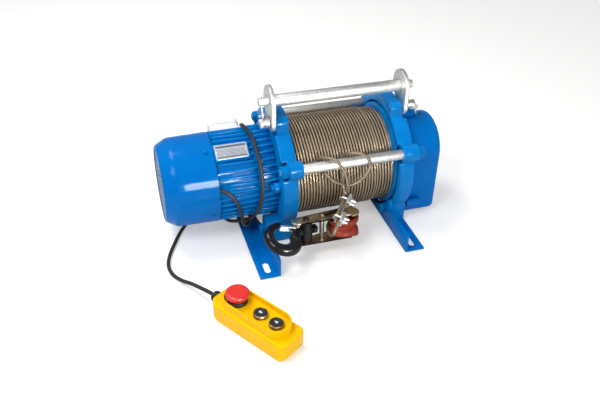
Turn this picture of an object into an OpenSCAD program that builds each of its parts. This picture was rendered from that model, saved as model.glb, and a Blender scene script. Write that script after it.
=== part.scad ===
// Electric winch on two angle feet: motor on the left, rope drum between two
// cast end frames, gearbox on the right, hook block tied up under the front rod
// and a wired hand control on the floor. Millimetres, +Z up.
// Origin: floor level, in the middle of the six foot slots. +X runs to the gearbox.

/* [Placing] */
// height of the drum axis above the floor
axis_h = 114; // [112:0.5:125]
// drum axis behind the middle of the foot slots
axis_y = 10; // [0:1:20]

/* [Feet] */
// outer edge to outer edge across both feet
foot_span = 334; // [330:1:340]
// leg width of the equal angle
foot_w = 40; // [38:1:45]
// thickness of the angle
foot_t = 4; // [3:0.5:5]
// length of each foot
foot_len = 376; // [360:2:400]
// distance between slots along a foot
slot_pitch = 160; // [150:1:165]
// width of a foot slot
slot_w = 12; // [10:0.5:13]
// overall length of a foot slot
slot_len = 32; // [24:1:36]
// slot centre from the outer edge of the foot
slot_edge = 19; // [17:0.5:20]
// radius of the foot bolts
foot_bolt_r = 5; // [4:0.5:6]

/* [End frames] */
// outer radius of each cast ring
ring_r = 119; // [117:0.5:122]
// radius of the recess that takes the drum flange
recess_r = 108; // [106:0.5:109]
// thickness of each frame along the drum axis
frame_t = 30; // [28:1:34]
// thickness of the frame web
web_t = 10; // [8:1:12]
// motor-side face of the left frame
frame_left_x = -99; // [-101:0.5:-97]
// gearbox-side face of the right frame
frame_right_x = 167; // [165:0.5:169]
// height of the top lug above the drum axis
lug_top = 133; // [131:1:136]
// half width of the top lug
lug_half = 48; // [44:1:50]
// thickness of the top lug
lug_t = 24; // [20:1:26]
// corner radius of the top lug
lug_round = 16; // [10:1:20]
// lowest point of the rings above the floor
ring_trim = 14; // [13:0.5:20]

/* [Tie rods] */
// radius of a tie rod
rod_r = 10; // [8:0.5:11]
// radius of the threaded rod ends
stud_r = 7; // [6:0.5:8]
// distance from drum axis to each tie rod
rod_circle = 119.5; // [119:0.5:122]
// angle of the front rod, seen from the gearbox side
front_rod_angle = 152.5; // [148:0.5:158]
// angle of the upper rear rod
rear_rod_angle = 32; // [28:1:38]
// angle of the lower rear rod
low_rod_angle = -28; // [-32:1:-22]
// radius of the rod bosses
boss_r = 17; // [15:0.5:18]

/* [Drum] */
// outer radius of the drum barrel
barrel_r = 60; // [50:1:65]
// radius of the drum flanges
flange_r = 104.5; // [102:0.5:105]
// thickness of a drum flange
flange_t = 5.5; // [4:0.5:6]
// left end of the rope space
rope_left_x = -69; // [-70:0.5:-68]
// right end of the rope space
rope_right_x = 134.5; // [133:0.5:136]
// rope diameter
rope_d = 6; // [5:0.5:7]
// outer radius of the full rope pack
rope_pack_r = 98.6; // [96:0.1:99]
// loops drawn in the outer layer
rope_loops = 23; // [18:1:24]

/* [Motor] */
// radius of the stator housing below the fins
housing_r = 80; // [78:0.5:82]
// radius over the housing fins
fin_r = 88; // [86:0.5:88.5]
// thickness of one fin
fin_t = 3; // [2:0.5:4]
// number of fins round the housing
fin_count = 40; // [32:4:44]
// left end of the stator housing
housing_left_x = -222; // [-224:1:-220]
// right end of the stator housing
housing_right_x = -136; // [-138:1:-134]
// radius over the fins of the drive end bell
bell_fin_r = 90; // [88:0.5:91]
// radius of the fan cowl at its rim
cowl_r = 88.5; // [87:0.5:90]
// radius of the flat cowl end
cowl_end_r = 75; // [72:1:78]
// thickness of the cowl sheet
sheet_t = 1.5; // [1:0.25:2]
// flat end of the cowl
cowl_left_x = -315; // [-317:1:-313]
// start of the straight part of the cowl
cowl_bend_x = -292; // [-295:1:-288]
// rim of the cowl
cowl_rim_x = -214; // [-216:1:-212]

/* [Terminal box] */
// length of the box along the motor
box_len = 60; // [56:1:66]
// height of the box
box_h = 82; // [78:1:86]
// box depth without its lid
box_d = 34; // [30:1:36]
// depth of the lid
lid_d = 14; // [10:1:16]
// left side of the box
box_left_x = -193; // [-195:1:-190]
// wall thickness of the box
box_wall = 3; // [2:0.5:4]

/* [Gearbox] */
// left face of the gear cover
cover_left_x = 176; // [175:0.5:178]
// right face of the gear cover
cover_right_x = 241; // [240:1:244]
// wall thickness of the gear cover
cover_wall = 5; // [4:0.5:6]

/* [Rope guard] */
// radius of the guard bar
bar_r = 11.5; // [10:0.5:13]
// thickness of the guard plates
guard_t = 8; // [6:1:9]
// gap between a guard plate and the lug
guard_gap = 2; // [1.5:0.25:3]

/* [Hook block] */
// sheave centre to the right of the middle of the feet
block_x = 15; // [13:0.5:17]
// sheave centre, front to back
block_y = -127; // [-129:0.5:-125]
// height of the sheave centre
block_z = 51; // [50:0.5:53]
// roll of the block about its long axis
block_roll = -11; // [-12:0.5:-9]
// nose-up tilt of the hook end
block_pitch = 3; // [1:0.5:4]
// turn of the hook end towards the front
block_yaw = 6; // [4:0.5:8]
// extra turn of the crosshead
crosshead_yaw = 8; // [5:1:11]
// roll of the hook about its shank
hook_roll = 31; // [29:0.5:33]
// outer face of each cheek from the middle of the block
cheek_out = 24; // [23:0.5:25]
// thickness of a cheek
cheek_t = 3; // [2.5:0.5:4]
// half width of a cheek
cheek_w = 21; // [19:0.5:22]
// sheave centre to crosshead centre
block_len = 78; // [76:1:80]
// outer radius of the sheave
sheave_r = 31; // [29:0.5:32]
// sheave centre to spacer bolt
spacer_at = 45; // [44:0.5:47]

/* [Hand control] */
// middle of the hand control, left to right
pendant_x = -205; // [-212:1:-198]
// middle of the hand control, front to back
pendant_y = -315; // [-322:1:-308]
// direction of its long axis
pendant_turn = -57; // [-62:1:-52]
// length of the body
pendant_len = 164; // [156:1:172]
// width of the body
pendant_w = 60; // [56:1:66]
// height of the lower shell
shell_low_h = 21; // [18:1:24]
// height of the whole body
pendant_h = 46; // [42:1:50]
// radius of the emergency stop head
stop_r = 20.5; // [18:0.5:22]
// radius of a push button
button_r = 10.75; // [9:0.25:11.5]
// radius of a button collar
collar_r = 12.75; // [12:0.25:14]
// distance between the two push buttons
button_pitch = 35; // [33:1:38]

/* [Cables] */
// diameter of the control cable
cable_d = 7; // [6:0.5:7]

/* [Fits] */
// radial clearance of turning parts
run_gap = 0.05; // [0.02:0.01:0.1]
// clearance of seated parts
seat_gap = 0.02; // [0.01:0.01:0.05]
// clearance beside turning parts
side_gap = 0.5; // [0.3:0.1:1]
// clearance of bolts in through holes
bolt_gap = 0.5; // [0.3:0.1:0.6]

/* [Hidden] */
$fn = 64;
eps = 0.01;

gear_module = 1.5;
big_teeth = 60;
small_teeth = 11;
block_at = [block_x, block_y, block_z];
pendant_at = [pendant_x, pendant_y, 0];
frame_in_left = frame_left_x + frame_t;
frame_in_right = frame_right_x - frame_t;
lug_low = 60;
leg_half_in = 60;
leg_half_out = 98;
leg_top = -62;
leg_bolt_y = 79;
leg_bolt_z = -88;
foot_inner = foot_span / 2 - foot_w;
slot_x = foot_span / 2 - slot_edge;
pivot_y = -34;
pivot_z = 122;
bar_y = -19;
bar_z = 159;
pivot_r = 5;
boss_left_in = -61;
boss_left_out = -88;
boss_right_in = 142;
boss_right_out = 173;
nut_t = 12;
washer_t = 2.5;
shaft_r = 12;
shaft_end_r = 8;
spigot_r = 25;
spigot_bore = 16;
drum_bearing_r = 40;
quill_r = 30;
quill_bore = 16;
quill_bearing_r = 45;
quill_end_x = 199;
lay_r = sqrt(pow(gear_module * (big_teeth + small_teeth) / 2, 2) - pow(32, 2));
lay_y = -32;
lay_z = -lay_r;
lay_angle = atan2(lay_z, lay_y);
lay_shaft_r = 8;
lay_bearing_r = 16;
end_bearing_r = 16;
wall_in = cover_right_x - cover_wall;
cover_front = -85;
cover_back = 56;
cover_low = -108;
cover_arc_y = -19.5;
cover_arc_z = 22;
cover_arc_r = 65;
cover_corner = 14;
cover_edge = 11;
loop_rings = 24;
turn_r = rope_pack_r - rope_d / 2;
core_r = turn_r * cos(180 / loop_rings) - rope_d / 2 - 0.1;
turn_x0 = rope_left_x + rope_d / 2 + 0.6;
turn_x1 = rope_right_x - rope_d / 2 - 0.6;
guard_mid = (frame_in_left + frame_in_right) / 2;
guard_in = frame_in_left - lug_t - guard_gap;
guard_out = guard_in - guard_t;
guard_top_r = 31;
guard_low_r = 17;
stub_r = 8;
stub_len = 18;
bushing_r = 7;
bushing_len = 13;
nut_side = 7;
post_y = 0;
post_z = 118;
post_r = 3;
spring_wire = 1.25;
spring_pitch = 3;
spring_rings = 24;
relief_r = 27;
sheave_pin_r = 6;
spacer_bolt_r = 3;
spacer_r = 4.75;
trunnion_r = 6;
cross_r = 12;
cheek_round_x = 12;
cheek_nose_r = 14;
cheek_nose_x = 16;
rim_flare = 5.5;
ear_r = 3.1;
lid_over = 2;
shank_r = 6.5;
latch_x = -21;
latch_y = 10.5;
latch_turn = 159.6;
latch_len = 27.5;
latch_pin_r = 2;
clip_high = [19, -121, 102];
clip_low = [-7, -157, 90];
clip_turn = [108, -20, 54];
clip_leg = 6.25;
clip_wire = 2.5;
clip_leg_len = 23;
strand_gap = 3.1;
shell_wall = 2.5;
gland_z = 23;
gland_neck_r = 7;
stop_x = -45;
stop_deck = 7;
stop_stem_r = 9;
stop_travel = 4;
buttons_x = 25.5;
rim_r = 18;
rim_h = 3;
collar_neck_r = 11.4;
button_top = 54;
button_travel = 3;
contact_h = 30;
breather_y = -10;
control_gland_x = box_left_x + 17;
mains_gland_x = box_left_x + 43;
case_screw_r = 52;
case_screw_angles = [100, 160, 275, 325];
plate_angle = 118.5;
box_back = 84;
box_low = -35;
gland_r = 8;
lead_r = cable_d / 2;
tie_hole_r = 8.15;

// small helpers

module on_axis() {
    translate([0, axis_y, axis_h])
        children();
}

module bar_x(x0, x1, r) {
    translate([x0, 0, 0])
        rotate([0, 90, 0])
            cylinder(h = x1 - x0, r = r);
}

module pipe_x(x0, x1, r, hole) {
    difference() {
        bar_x(x0, x1, r);
        bar_x(x0 - 1, x1 + 1, hole);
    }
}

module slab_x(x0, x1) {
    translate([x0, 0, 0])
        rotate([90, 0, 90])
            linear_extrude(x1 - x0)
                children();
}

module at_yz(y, z) {
    translate([0, y, z])
        children();
}

module at_angle(r, a) {
    at_yz(r * cos(a), r * sin(a))
        children();
}

module hex_x(x0, x1, flats) {
    translate([x0, 0, 0])
        rotate([0, 90, 0])
            cylinder(h = x1 - x0, r = flats / sqrt(3), $fn = 6);
}

module round_rect(w, h, r) {
    union() {
        square([w - 2 * r, h], center = true);
        square([w, h - 2 * r], center = true);
        for (sx = [-1, 1])
            for (sy = [-1, 1])
                translate([sx * (w / 2 - r), sy * (h / 2 - r)])
                    circle(r = r);
    }
}

// shape of two discs joined by their outer tangents, which run a hair inside the arcs
module lobe(ax, ay, ar, bx, by, br) {
    dist = norm([bx - ax, by - ay]);
    dir = atan2(by - ay, bx - ax);
    lean = acos((ar - br) / dist);
    translate([ax, ay])
        circle(r = ar);
    translate([bx, by])
        circle(r = br);
    polygon([
        [ax + (ar - eps) * cos(dir + lean), ay + (ar - eps) * sin(dir + lean)],
        [bx + (br - eps) * cos(dir + lean), by + (br - eps) * sin(dir + lean)],
        [bx + (br - eps) * cos(dir - lean), by + (br - eps) * sin(dir - lean)],
        [ax + (ar - eps) * cos(dir - lean), ay + (ar - eps) * sin(dir - lean)]
    ]);
}

// copy on the gearbox side, mirrored about the middle of the drum
module on_both_sides() {
    children();
    translate([2 * guard_mid, 0, 0])
        mirror([1, 0, 0])
            children();
}

module on_block() {
    translate(block_at)
        rotate([block_roll, block_pitch, block_yaw])
            children();
}

// tubes swept along smooth paths

function about_x(p, a) = [p[0], p[1] * cos(a) - p[2] * sin(a), p[1] * sin(a) + p[2] * cos(a)];
function about_y(p, a) = [p[0] * cos(a) + p[2] * sin(a), p[1], p[2] * cos(a) - p[0] * sin(a)];
function about_z(p, a) = [p[0] * cos(a) - p[1] * sin(a), p[0] * sin(a) + p[1] * cos(a), p[2]];
function placed(at, turn, p) =
    at + about_z(about_y(about_x(p, turn[0]), turn[1]), turn[2]);

function unit(v) = v / norm(v);
function xyz(p) = [p[0], p[1], p[2]];
function tangent(p, i) = unit(xyz(p[min(i + 1, len(p) - 1)]) - xyz(p[max(i - 1, 0)]));
function squared(n, t) = unit(n - t * (n * t));
function carried(p, n0) = [
    for (i = 0, n = squared(n0, tangent(p, 0)); i < len(p);
        i = i + 1, n = squared(n, tangent(p, min(i, len(p) - 1)))) n
];
function between(a, b, c, d, t) = 0.5 * ((2 * b) + (c - a) * t
    + (2 * a - 5 * b + 4 * c - d) * t * t + (3 * b - a - 3 * c + d) * t * t * t);
function smooth_path(p, n) = [
    for (i = [0 : len(p) - 2])
        for (j = [0 : n - 1])
            between(p[max(i - 1, 0)], p[i], p[i + 1], p[min(i + 2, len(p) - 1)], j / n),
    p[len(p) - 1]
];
function ring_at(c, n, b, r, sides) = [
    for (k = [0 : sides - 1])
        c + n * r * cos(360 * k / sides) + b * r * sin(360 * k / sides)
];

module tube(path, radii, n0, sides) {
    side_dirs = carried(path, n0);
    last = len(path) - 1;
    points = [
        for (i = [0 : last])
            for (q = ring_at(xyz(path[i]), side_dirs[i], cross(tangent(path, i), side_dirs[i]),
                radii[i], sides)) q
    ];
    walls = [
        for (i = [0 : last - 1])
            for (k = [0 : sides - 1])
                [i * sides + k, (i + 1) * sides + k, (i + 1) * sides + (k + 1) % sides,
                    i * sides + (k + 1) % sides]
    ];
    near_cap = [for (k = [0 : sides - 1]) k];
    far_cap = [for (k = [sides - 1 : -1 : 0]) last * sides + k];
    polyhedron(points = points, faces = concat([near_cap], walls, [far_cap]), convexity = 8);
}

module cord(points, parts, d, n0, sides) {
    path = smooth_path(points, parts);
    tube(path, [for (p = path) d / 2], n0, sides);
}

// feet

module foot_shape() {
    difference() {
        union() {
            translate([foot_inner, -foot_len / 2, 0])
                cube([foot_w, foot_len, foot_t]);
            translate([foot_inner, -foot_len / 2, 0])
                cube([foot_t, foot_len, foot_w]);
        }
        for (k = [-1, 0, 1])
            translate([slot_x, k * slot_pitch, -1])
                foot_slot();
        for (s = [-1, 1])
            on_axis()
                at_yz(s * leg_bolt_y, leg_bolt_z)
                    bar_x(foot_inner - 1, foot_inner + foot_t + 1, foot_bolt_r + bolt_gap);
        on_axis()
            bar_x(foot_inner - 1, foot_inner + foot_w, recess_r + 1);
    }
}

module foot_slot() {
    reach = (slot_len - slot_w) / 2;
    for (s = [-1, 1])
        translate([0, s * reach, 0])
            cylinder(h = foot_t + 2, r = slot_w / 2);
    translate([-slot_w / 2, -reach, 0])
        cube([slot_w, 2 * reach, foot_t + 2]);
}

module left_foot() {
    color([0.05, 0.32, 0.62])
        mirror([1, 0, 0])
            foot_shape();
}

module right_foot() {
    color([0.05, 0.32, 0.62])
        foot_shape();
}

module foot_bolt(head_x, tip_x) {
    hex_x(head_x, head_x + 6.4, 17);
    bar_x(head_x + 6, tip_x, foot_bolt_r);
}

module foot_bolts() {
    color([0.7, 0.71, 0.72])
        on_axis()
            for (s = [-1, 1])
                at_yz(s * leg_bolt_y, leg_bolt_z) {
                    foot_bolt(-foot_inner - foot_t - 6.4, -foot_inner + 22);
                    foot_bolt(foot_inner - 6.4, foot_inner + foot_t + 22);
                }
}

// end frames

module lug_outline() {
    translate([-lug_half, lug_low])
        square([2 * lug_half, lug_top - lug_round - lug_low]);
    translate([lug_round - lug_half, lug_low])
        square([2 * (lug_half - lug_round), lug_top - lug_low]);
    for (s = [-1, 1])
        translate([s * (lug_half - lug_round), lug_top - lug_round])
            circle(r = lug_round);
}

module frame_block(x0, x1, lug0, lug1, web0, leg0, leg1, leg_low, boss0, boss1) {
    difference() {
        union() {
            bar_x(x0, x1, ring_r);
            slab_x(lug0, lug1)
                lug_outline();
            for (s = [-1, 1])
                translate([leg0, min(s * leg_half_in, s * leg_half_out), leg_low - axis_h])
                    cube([leg1 - leg0, leg_half_out - leg_half_in, leg_top + axis_h - leg_low]);
            for (a = [front_rod_angle, rear_rod_angle, low_rod_angle])
                at_angle(rod_circle, a)
                    bar_x(boss0, boss1, boss_r);
        }
        bar_x(web0, web0 + frame_t + 40, recess_r);
        translate([x0 - 50, -leg_half_in, -2 * axis_h])
            cube([frame_t + 100, 2 * leg_half_in, axis_h + ring_trim]);
        for (a = [front_rod_angle, rear_rod_angle, low_rod_angle])
            at_angle(rod_circle, a)
                bar_x(boss0 - 40, boss1 + 40, stud_r + seat_gap);
        at_yz(pivot_y, pivot_z) {
            bar_x(x0 - 1, lug1 + 1, pivot_r + seat_gap);
            bar_x(x0 - 1, lug0, relief_r);
        }
        at_yz(post_y, post_z)
            bar_x(x0 - 1, lug0 + 8, post_r + seat_gap);
    }
}

module left_end_frame() {
    color([0.05, 0.42, 0.8])
        on_axis()
            difference() {
                union() {
                    frame_block(frame_left_x, frame_in_left, frame_in_left - lug_t, frame_in_left,
                        frame_left_x + web_t, -foot_inner, frame_in_left, 2,
                        boss_left_out, boss_left_in);
                    bar_x(frame_left_x, -50, spigot_r);
                }
                bar_x(frame_left_x - 1, -49, spigot_bore);
                bar_x(-foot_inner - 1, frame_left_x, bell_fin_r + 2);
                for (s = [-1, 1])
                    at_yz(s * leg_bolt_y, leg_bolt_z)
                        bar_x(-foot_inner - 1, -foot_inner + 24, foot_bolt_r + seat_gap);
                for (a = [front_rod_angle, rear_rod_angle, low_rod_angle])
                    at_angle(rod_circle, a)
                        bar_x(frame_left_x - 20, boss_left_out, boss_r + 1);
                for (k = [0 : 3])
                    at_angle(92, 172 + 90 * k)
                        bar_x(frame_left_x - 1, frame_left_x + web_t + 1, 4 + seat_gap);
            }
}

module right_end_frame() {
    color([0.05, 0.42, 0.8])
        on_axis()
            difference() {
                mirror([1, 0, 0])
                    frame_block(-frame_right_x, -frame_in_right, -frame_in_right - lug_t,
                        -frame_in_right, -frame_right_x + web_t, -foot_inner - foot_t - 36,
                        -foot_inner - foot_t, foot_t, -boss_right_out, -boss_right_in);
                bar_x(frame_right_x - web_t - 1, frame_right_x + 1, quill_bearing_r + seat_gap);
                for (a = [front_rod_angle, rear_rod_angle, low_rod_angle])
                    at_angle(rod_circle, a)
                        bar_x(frame_in_right - 20, boss_right_in, boss_r + 1.5);
                for (s = [-1, 1])
                    at_yz(s * leg_bolt_y, leg_bolt_z)
                        bar_x(foot_inner, foot_inner + foot_t + 24, foot_bolt_r + seat_gap);
                for (a = case_screw_angles)
                    at_angle(case_screw_r, a)
                        bar_x(frame_right_x - web_t - 1, frame_right_x + 1, 3 + seat_gap);
            }
}

// tie rods

module tie_rod() {
    bar_x(boss_left_in, boss_right_in, rod_r);
    bar_x(boss_left_out - washer_t - nut_t - 3, boss_right_out + washer_t + nut_t + 3, stud_r);
}

module front_tie_rod() {
    color([0.82, 0.83, 0.84])
        on_axis()
            at_angle(rod_circle, front_rod_angle)
                tie_rod();
}

module rear_tie_rods() {
    color([0.72, 0.73, 0.72])
        on_axis()
            for (a = [rear_rod_angle, low_rod_angle])
                at_angle(rod_circle, a)
                    tie_rod();
}

module rod_nut(x0, x1, washer_x) {
    difference() {
        union() {
            hex_x(x0, x1, 22);
            bar_x(washer_x, washer_x + washer_t, 14);
        }
        bar_x(boss_left_out - 60, boss_right_out + 60, stud_r + seat_gap);
    }
}

module tie_rod_nuts() {
    left_face = boss_left_out - washer_t;
    right_face = boss_right_out + washer_t;
    color([0.1, 0.4, 0.75])
        on_axis()
            for (a = [front_rod_angle, rear_rod_angle, low_rod_angle])
                at_angle(rod_circle, a) {
                    rod_nut(left_face - nut_t, left_face, left_face);
                    rod_nut(right_face, right_face + nut_t, boss_right_out);
                }
}

// motor

module motor_housing() {
    color([0.05, 0.42, 0.8])
        on_axis()
            difference() {
                union() {
                    bar_x(housing_left_x, housing_right_x, housing_r);
                    for (k = [0 : fin_count - 1])
                        rotate([k * 360 / fin_count, 0, 0])
                            translate([housing_left_x + 11, -fin_t / 2, housing_r - 4])
                                cube([housing_right_x - housing_left_x - 13, fin_t,
                                    fin_r - housing_r + 4]);
                    rotate([plate_angle, 0, 0])
                        translate([-213, housing_r - 6, -18])
                            cube([66, fin_r - housing_r + 6, 36]);
                    translate([box_left_x, 60, box_low + 4])
                        cube([box_len - 3, box_back - 60, box_h - 8]);
                }
                bar_x(housing_left_x - 1, housing_right_x + 1, 72);
                rotate([168, 0, 0])
                    translate([housing_left_x - 1, 78, -11])
                        cube([30, 14, 22]);
                translate([box_left_x + 12, 60, -12])
                    cube([box_len - 26, box_back - 50, 24]);
                translate([box_left_x - 2, box_back, box_low - 2])
                    cube([box_len + 4, 20, box_h + 4]);
            }
}

module drive_end_bell() {
    wall_x = frame_left_x - web_t;
    color([0.05, 0.42, 0.8])
        on_axis()
            difference() {
                union() {
                    bar_x(housing_right_x, frame_left_x, housing_r);
                    for (k = [0 : fin_count - 1])
                        rotate([k * 360 / fin_count, 0, 0])
                            translate([housing_right_x + 3, -fin_t / 2, housing_r - 4])
                                cube([frame_left_x - housing_right_x - 4, fin_t,
                                    bell_fin_r - housing_r + 4]);
                    for (k = [0 : 3])
                        at_angle(92, 172 + 90 * k)
                            bar_x(wall_x - 2, frame_left_x, 10);
                }
                bar_x(housing_right_x - 1, wall_x, 70);
                for (k = [0 : 3])
                    at_angle(92, 172 + 90 * k)
                        bar_x(wall_x - 16, wall_x - 2, 9.5);
                bar_x(wall_x - 1, frame_left_x + 1, 26 + seat_gap);
                for (k = [0 : 3])
                    at_angle(92, 172 + 90 * k)
                        bar_x(wall_x - 3, frame_left_x + 1, 4 + bolt_gap);
            }
}

module bell_bolts() {
    head_x = frame_left_x - web_t - 2;
    color([0.7, 0.71, 0.72])
        on_axis()
            for (k = [0 : 3])
                at_angle(92, 172 + 90 * k) {
                    hex_x(head_x - 5.3, head_x, 13);
                    bar_x(head_x - 1, frame_left_x + web_t, 4);
                }
}

module rear_end_shield() {
    color([0.05, 0.42, 0.8])
        on_axis()
            difference() {
                union() {
                    bar_x(housing_left_x - 12, housing_left_x, 84);
                    for (k = [0 : 3])
                        rotate([115 + 90 * k, 0, 0])
                            translate([housing_left_x - 12, 78, -7])
                                cube([12, 7.8, 14]);
                }
                bar_x(housing_left_x - 13, housing_left_x + 1, 26 + seat_gap);
                for (k = [0 : 7])
                    at_angle(56, 22.5 + 45 * k)
                        bar_x(housing_left_x - 13, housing_left_x + 1, 12);
                for (k = [0 : 3])
                    rotate([115 + 90 * k, 0, 0])
                        translate([housing_left_x - 6, 74, 0])
                            rotate([-90, 0, 0])
                                cylinder(h = 14, r = 2.5 + seat_gap);
            }
}

module stator_core() {
    color([0.45, 0.46, 0.48])
        on_axis()
            pipe_x(-208, -150, 72 - seat_gap, 50);
}

module stator_windings() {
    color([0.72, 0.38, 0.16])
        on_axis() {
            pipe_x(-216, -208 - seat_gap, 68, 53);
            pipe_x(-150 + seat_gap, -142, 68, 53);
        }
}

module cowl_profile(shrink) {
    polygon([
        [0, cowl_left_x + shrink],
        [cowl_end_r - shrink * 0.6, cowl_left_x + shrink],
        [cowl_r - 1.5 - shrink, cowl_bend_x],
        [cowl_r - shrink, cowl_rim_x + (shrink > 0 ? 1 : 0)],
        [0, cowl_rim_x + (shrink > 0 ? 1 : 0)]
    ]);
}

module fan_cowl() {
    color([0.03, 0.45, 0.88])
        on_axis()
            difference() {
                rotate([0, 90, 0])
                    rotate_extrude($fn = 96)
                        cowl_profile(0);
                rotate([0, 90, 0])
                    rotate_extrude($fn = 96)
                        cowl_profile(sheet_t);
                bar_x(cowl_left_x - 1, cowl_left_x + 4, 69);
                for (k = [0 : 3])
                    rotate([115 + 90 * k, 0, 0])
                        translate([housing_left_x - 6, 80, 0])
                            rotate([-90, 0, 0])
                                cylinder(h = 14, r = 2.5 + bolt_gap);
            }
}

module cowl_grille() {
    grille_r = 71.5;
    color([0.62, 0.66, 0.78])
        on_axis() {
            intersection() {
                union() {
                    for (k = [-7 : 7])
                        for (t = [-30, 30])
                            rotate([t, 0, 0])
                                translate([cowl_left_x + sheet_t + seat_gap, -grille_r, k * 9.5 - 1])
                                    cube([1.2, 2 * grille_r, 2]);
                }
                bar_x(cowl_left_x, cowl_left_x + 6, grille_r - 1);
            }
            pipe_x(cowl_left_x + sheet_t + seat_gap, cowl_left_x + sheet_t + 1.2, grille_r, 67);
        }
}

module pan_screw(head_r, head_h, shank_r, shank_l) {
    cylinder(h = head_h, r = head_r);
    translate([0, 0, -shank_l])
        cylinder(h = shank_l + eps, r = shank_r);
}

module case_screws() {
    color([0.7, 0.71, 0.72])
        on_axis() {
            for (k = [0 : 3])
                rotate([115 + 90 * k, 0, 0])
                    translate([housing_left_x - 6, cowl_r, 0])
                        rotate([-90, 0, 0])
                            pan_screw(4.5, 2.6, 2.5, 12);
            for (sx = [-1, 1])
                for (sz = [-1, 1])
                    translate([box_left_x + box_len / 2 + sx * (box_len / 2 - 7),
                        box_back + box_d + lid_d, box_low + box_h / 2 + sz * (box_h / 2 - 7)])
                        rotate([-90, 0, 0])
                            pan_screw(4.5, 2.6, 2.5, 24);
        }
}

module terminal_box() {
    mid_x = box_left_x + box_len / 2;
    mid_z = box_low + box_h / 2;
    color([0.93, 0.93, 0.92])
        on_axis()
            difference() {
                translate([mid_x, box_back, mid_z])
                    rotate([-90, 0, 0])
                        linear_extrude(box_d)
                            round_rect(box_len, box_h, 6);
                difference() {
                    translate([mid_x, box_back + box_wall, mid_z])
                        rotate([-90, 0, 0])
                            linear_extrude(box_d)
                                round_rect(box_len - 2 * box_wall, box_h - 2 * box_wall, 4);
                    for (sx = [-1, 1])
                        for (sz = [-1, 1])
                            translate([mid_x + sx * (box_len / 2 - 7), box_back,
                                mid_z + sz * (box_h / 2 - 7)])
                                rotate([-90, 0, 0])
                                    cylinder(h = box_d, r = 5);
                }
                for (sx = [-1, 1])
                    for (sz = [-1, 1])
                        translate([mid_x + sx * (box_len / 2 - 7), box_back + box_d - 14,
                            mid_z + sz * (box_h / 2 - 7)])
                            rotate([-90, 0, 0])
                                cylinder(h = 20, r = 2.5 + seat_gap);
                translate([mid_x + box_len / 2 - 6, box_back + box_d / 2, 20])
                    rotate([0, 90, 0])
                        cylinder(h = 10, r = 6 + seat_gap);
                for (x = [control_gland_x, mains_gland_x])
                    translate([x, box_back + box_d / 2, box_low - 1])
                        cylinder(h = 10, r = 6 + seat_gap);
            }
}

module terminal_box_lid() {
    mid_x = box_left_x + box_len / 2;
    mid_z = box_low + box_h / 2;
    color([0.95, 0.95, 0.94])
        on_axis()
            difference() {
                translate([mid_x, box_back + box_d, mid_z])
                    rotate([-90, 0, 0])
                        linear_extrude(lid_d)
                            round_rect(box_len + 2 * lid_over, box_h + 2 * lid_over, 8);
                translate([mid_x, box_back + box_d - 1, mid_z])
                    rotate([-90, 0, 0])
                        linear_extrude(lid_d - box_wall + 1)
                            round_rect(box_len - 30, box_h - 30, 4);
                for (sx = [-1, 1])
                    for (sz = [-1, 1])
                        translate([mid_x + sx * (box_len / 2 - 7), box_back + box_d - 1,
                            mid_z + sz * (box_h / 2 - 7)])
                            rotate([-90, 0, 0])
                                cylinder(h = lid_d + 2, r = 2.5 + bolt_gap);
            }
}

module gland(core_r) {
    difference() {
        union() {
            translate([0, 0, -5])
                cylinder(h = 6, r = 6);
            cylinder(h = 4, r = gland_r + 1, $fn = 6);
            translate([0, 0, 4])
                cylinder(h = 10, r = gland_r);
        }
        translate([0, 0, -6])
            cylinder(h = 21, r = core_r);
    }
}

module cable_glands() {
    mid_x = box_left_x + box_len / 2;
    color([0.1, 0.1, 0.1])
        on_axis() {
            translate([mid_x + box_len / 2, box_back + box_d / 2, 20])
                rotate([0, 90, 0])
                    gland(lead_r + seat_gap);
            for (x = [control_gland_x, mains_gland_x])
                translate([x, box_back + box_d / 2, box_low])
                    rotate([180, 0, 0])
                        gland(lead_r + seat_gap);
        }
}

module nameplate() {
    color([0.8, 0.81, 0.82])
        on_axis()
            rotate([plate_angle, 0, 0])
                translate([-180, fin_r, 0])
                    rotate([-90, 0, 0]) {
                        linear_extrude(0.8)
                            square([62, 32], center = true);
                        for (sx = [-1, 1])
                            translate([sx * 28, 0, 0])
                                cylinder(h = 1.4, r = 1.5);
                    }
}

// gearbox

module cover_shape(inset) {
    front = cover_front + inset;
    back = cover_back - inset;
    low = cover_low + inset;
    corner = cover_corner - inset / 2;
    lobe(cover_arc_y, cover_arc_z, cover_arc_r - inset, 0, 0, cover_back - inset);
    translate([front, low + corner])
        square([back - front, cover_arc_z - low - corner - 22]);
    translate([front, low + corner])
        square([40, cover_arc_z - low - corner]);
    translate([front + corner, low])
        square([back - front - 2 * corner, corner + 1]);
    translate([front + corner, low + corner])
        circle(r = corner);
    translate([back - corner, low + corner])
        circle(r = corner);
}

module cover_bolt_spots() {
    for (p = [[-89, 34], [-91, -75], [-19, 93], [62, -20], [62, -90]])
        at_yz(p[0], p[1])
            children();
}

module gear_case() {
    color([0.05, 0.4, 0.76])
        on_axis()
            difference() {
                union() {
                    bar_x(frame_right_x, cover_left_x, 75);
                    slab_x(frame_right_x + 3, cover_left_x)
                        cover_shape(8);
                    slab_x(cover_left_x - 5, cover_left_x)
                        cover_shape(0);
                    cover_bolt_spots()
                        bar_x(cover_left_x - 5, cover_left_x, 8);
                    at_yz(lay_y, lay_z)
                        bar_x(frame_right_x, cover_left_x, 22);
                }
                bar_x(frame_right_x - 1, cover_left_x + 1, 36);
                at_yz(lay_y, lay_z)
                    bar_x(frame_right_x + 2, cover_left_x + 1, lay_bearing_r + seat_gap);
                for (a = case_screw_angles)
                    at_angle(case_screw_r, a)
                        bar_x(frame_right_x - 1, cover_left_x + 1, 3 + seat_gap);
                cover_bolt_spots()
                    bar_x(cover_left_x - 6, cover_left_x + 1, 3 + seat_gap);
            }
}

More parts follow.
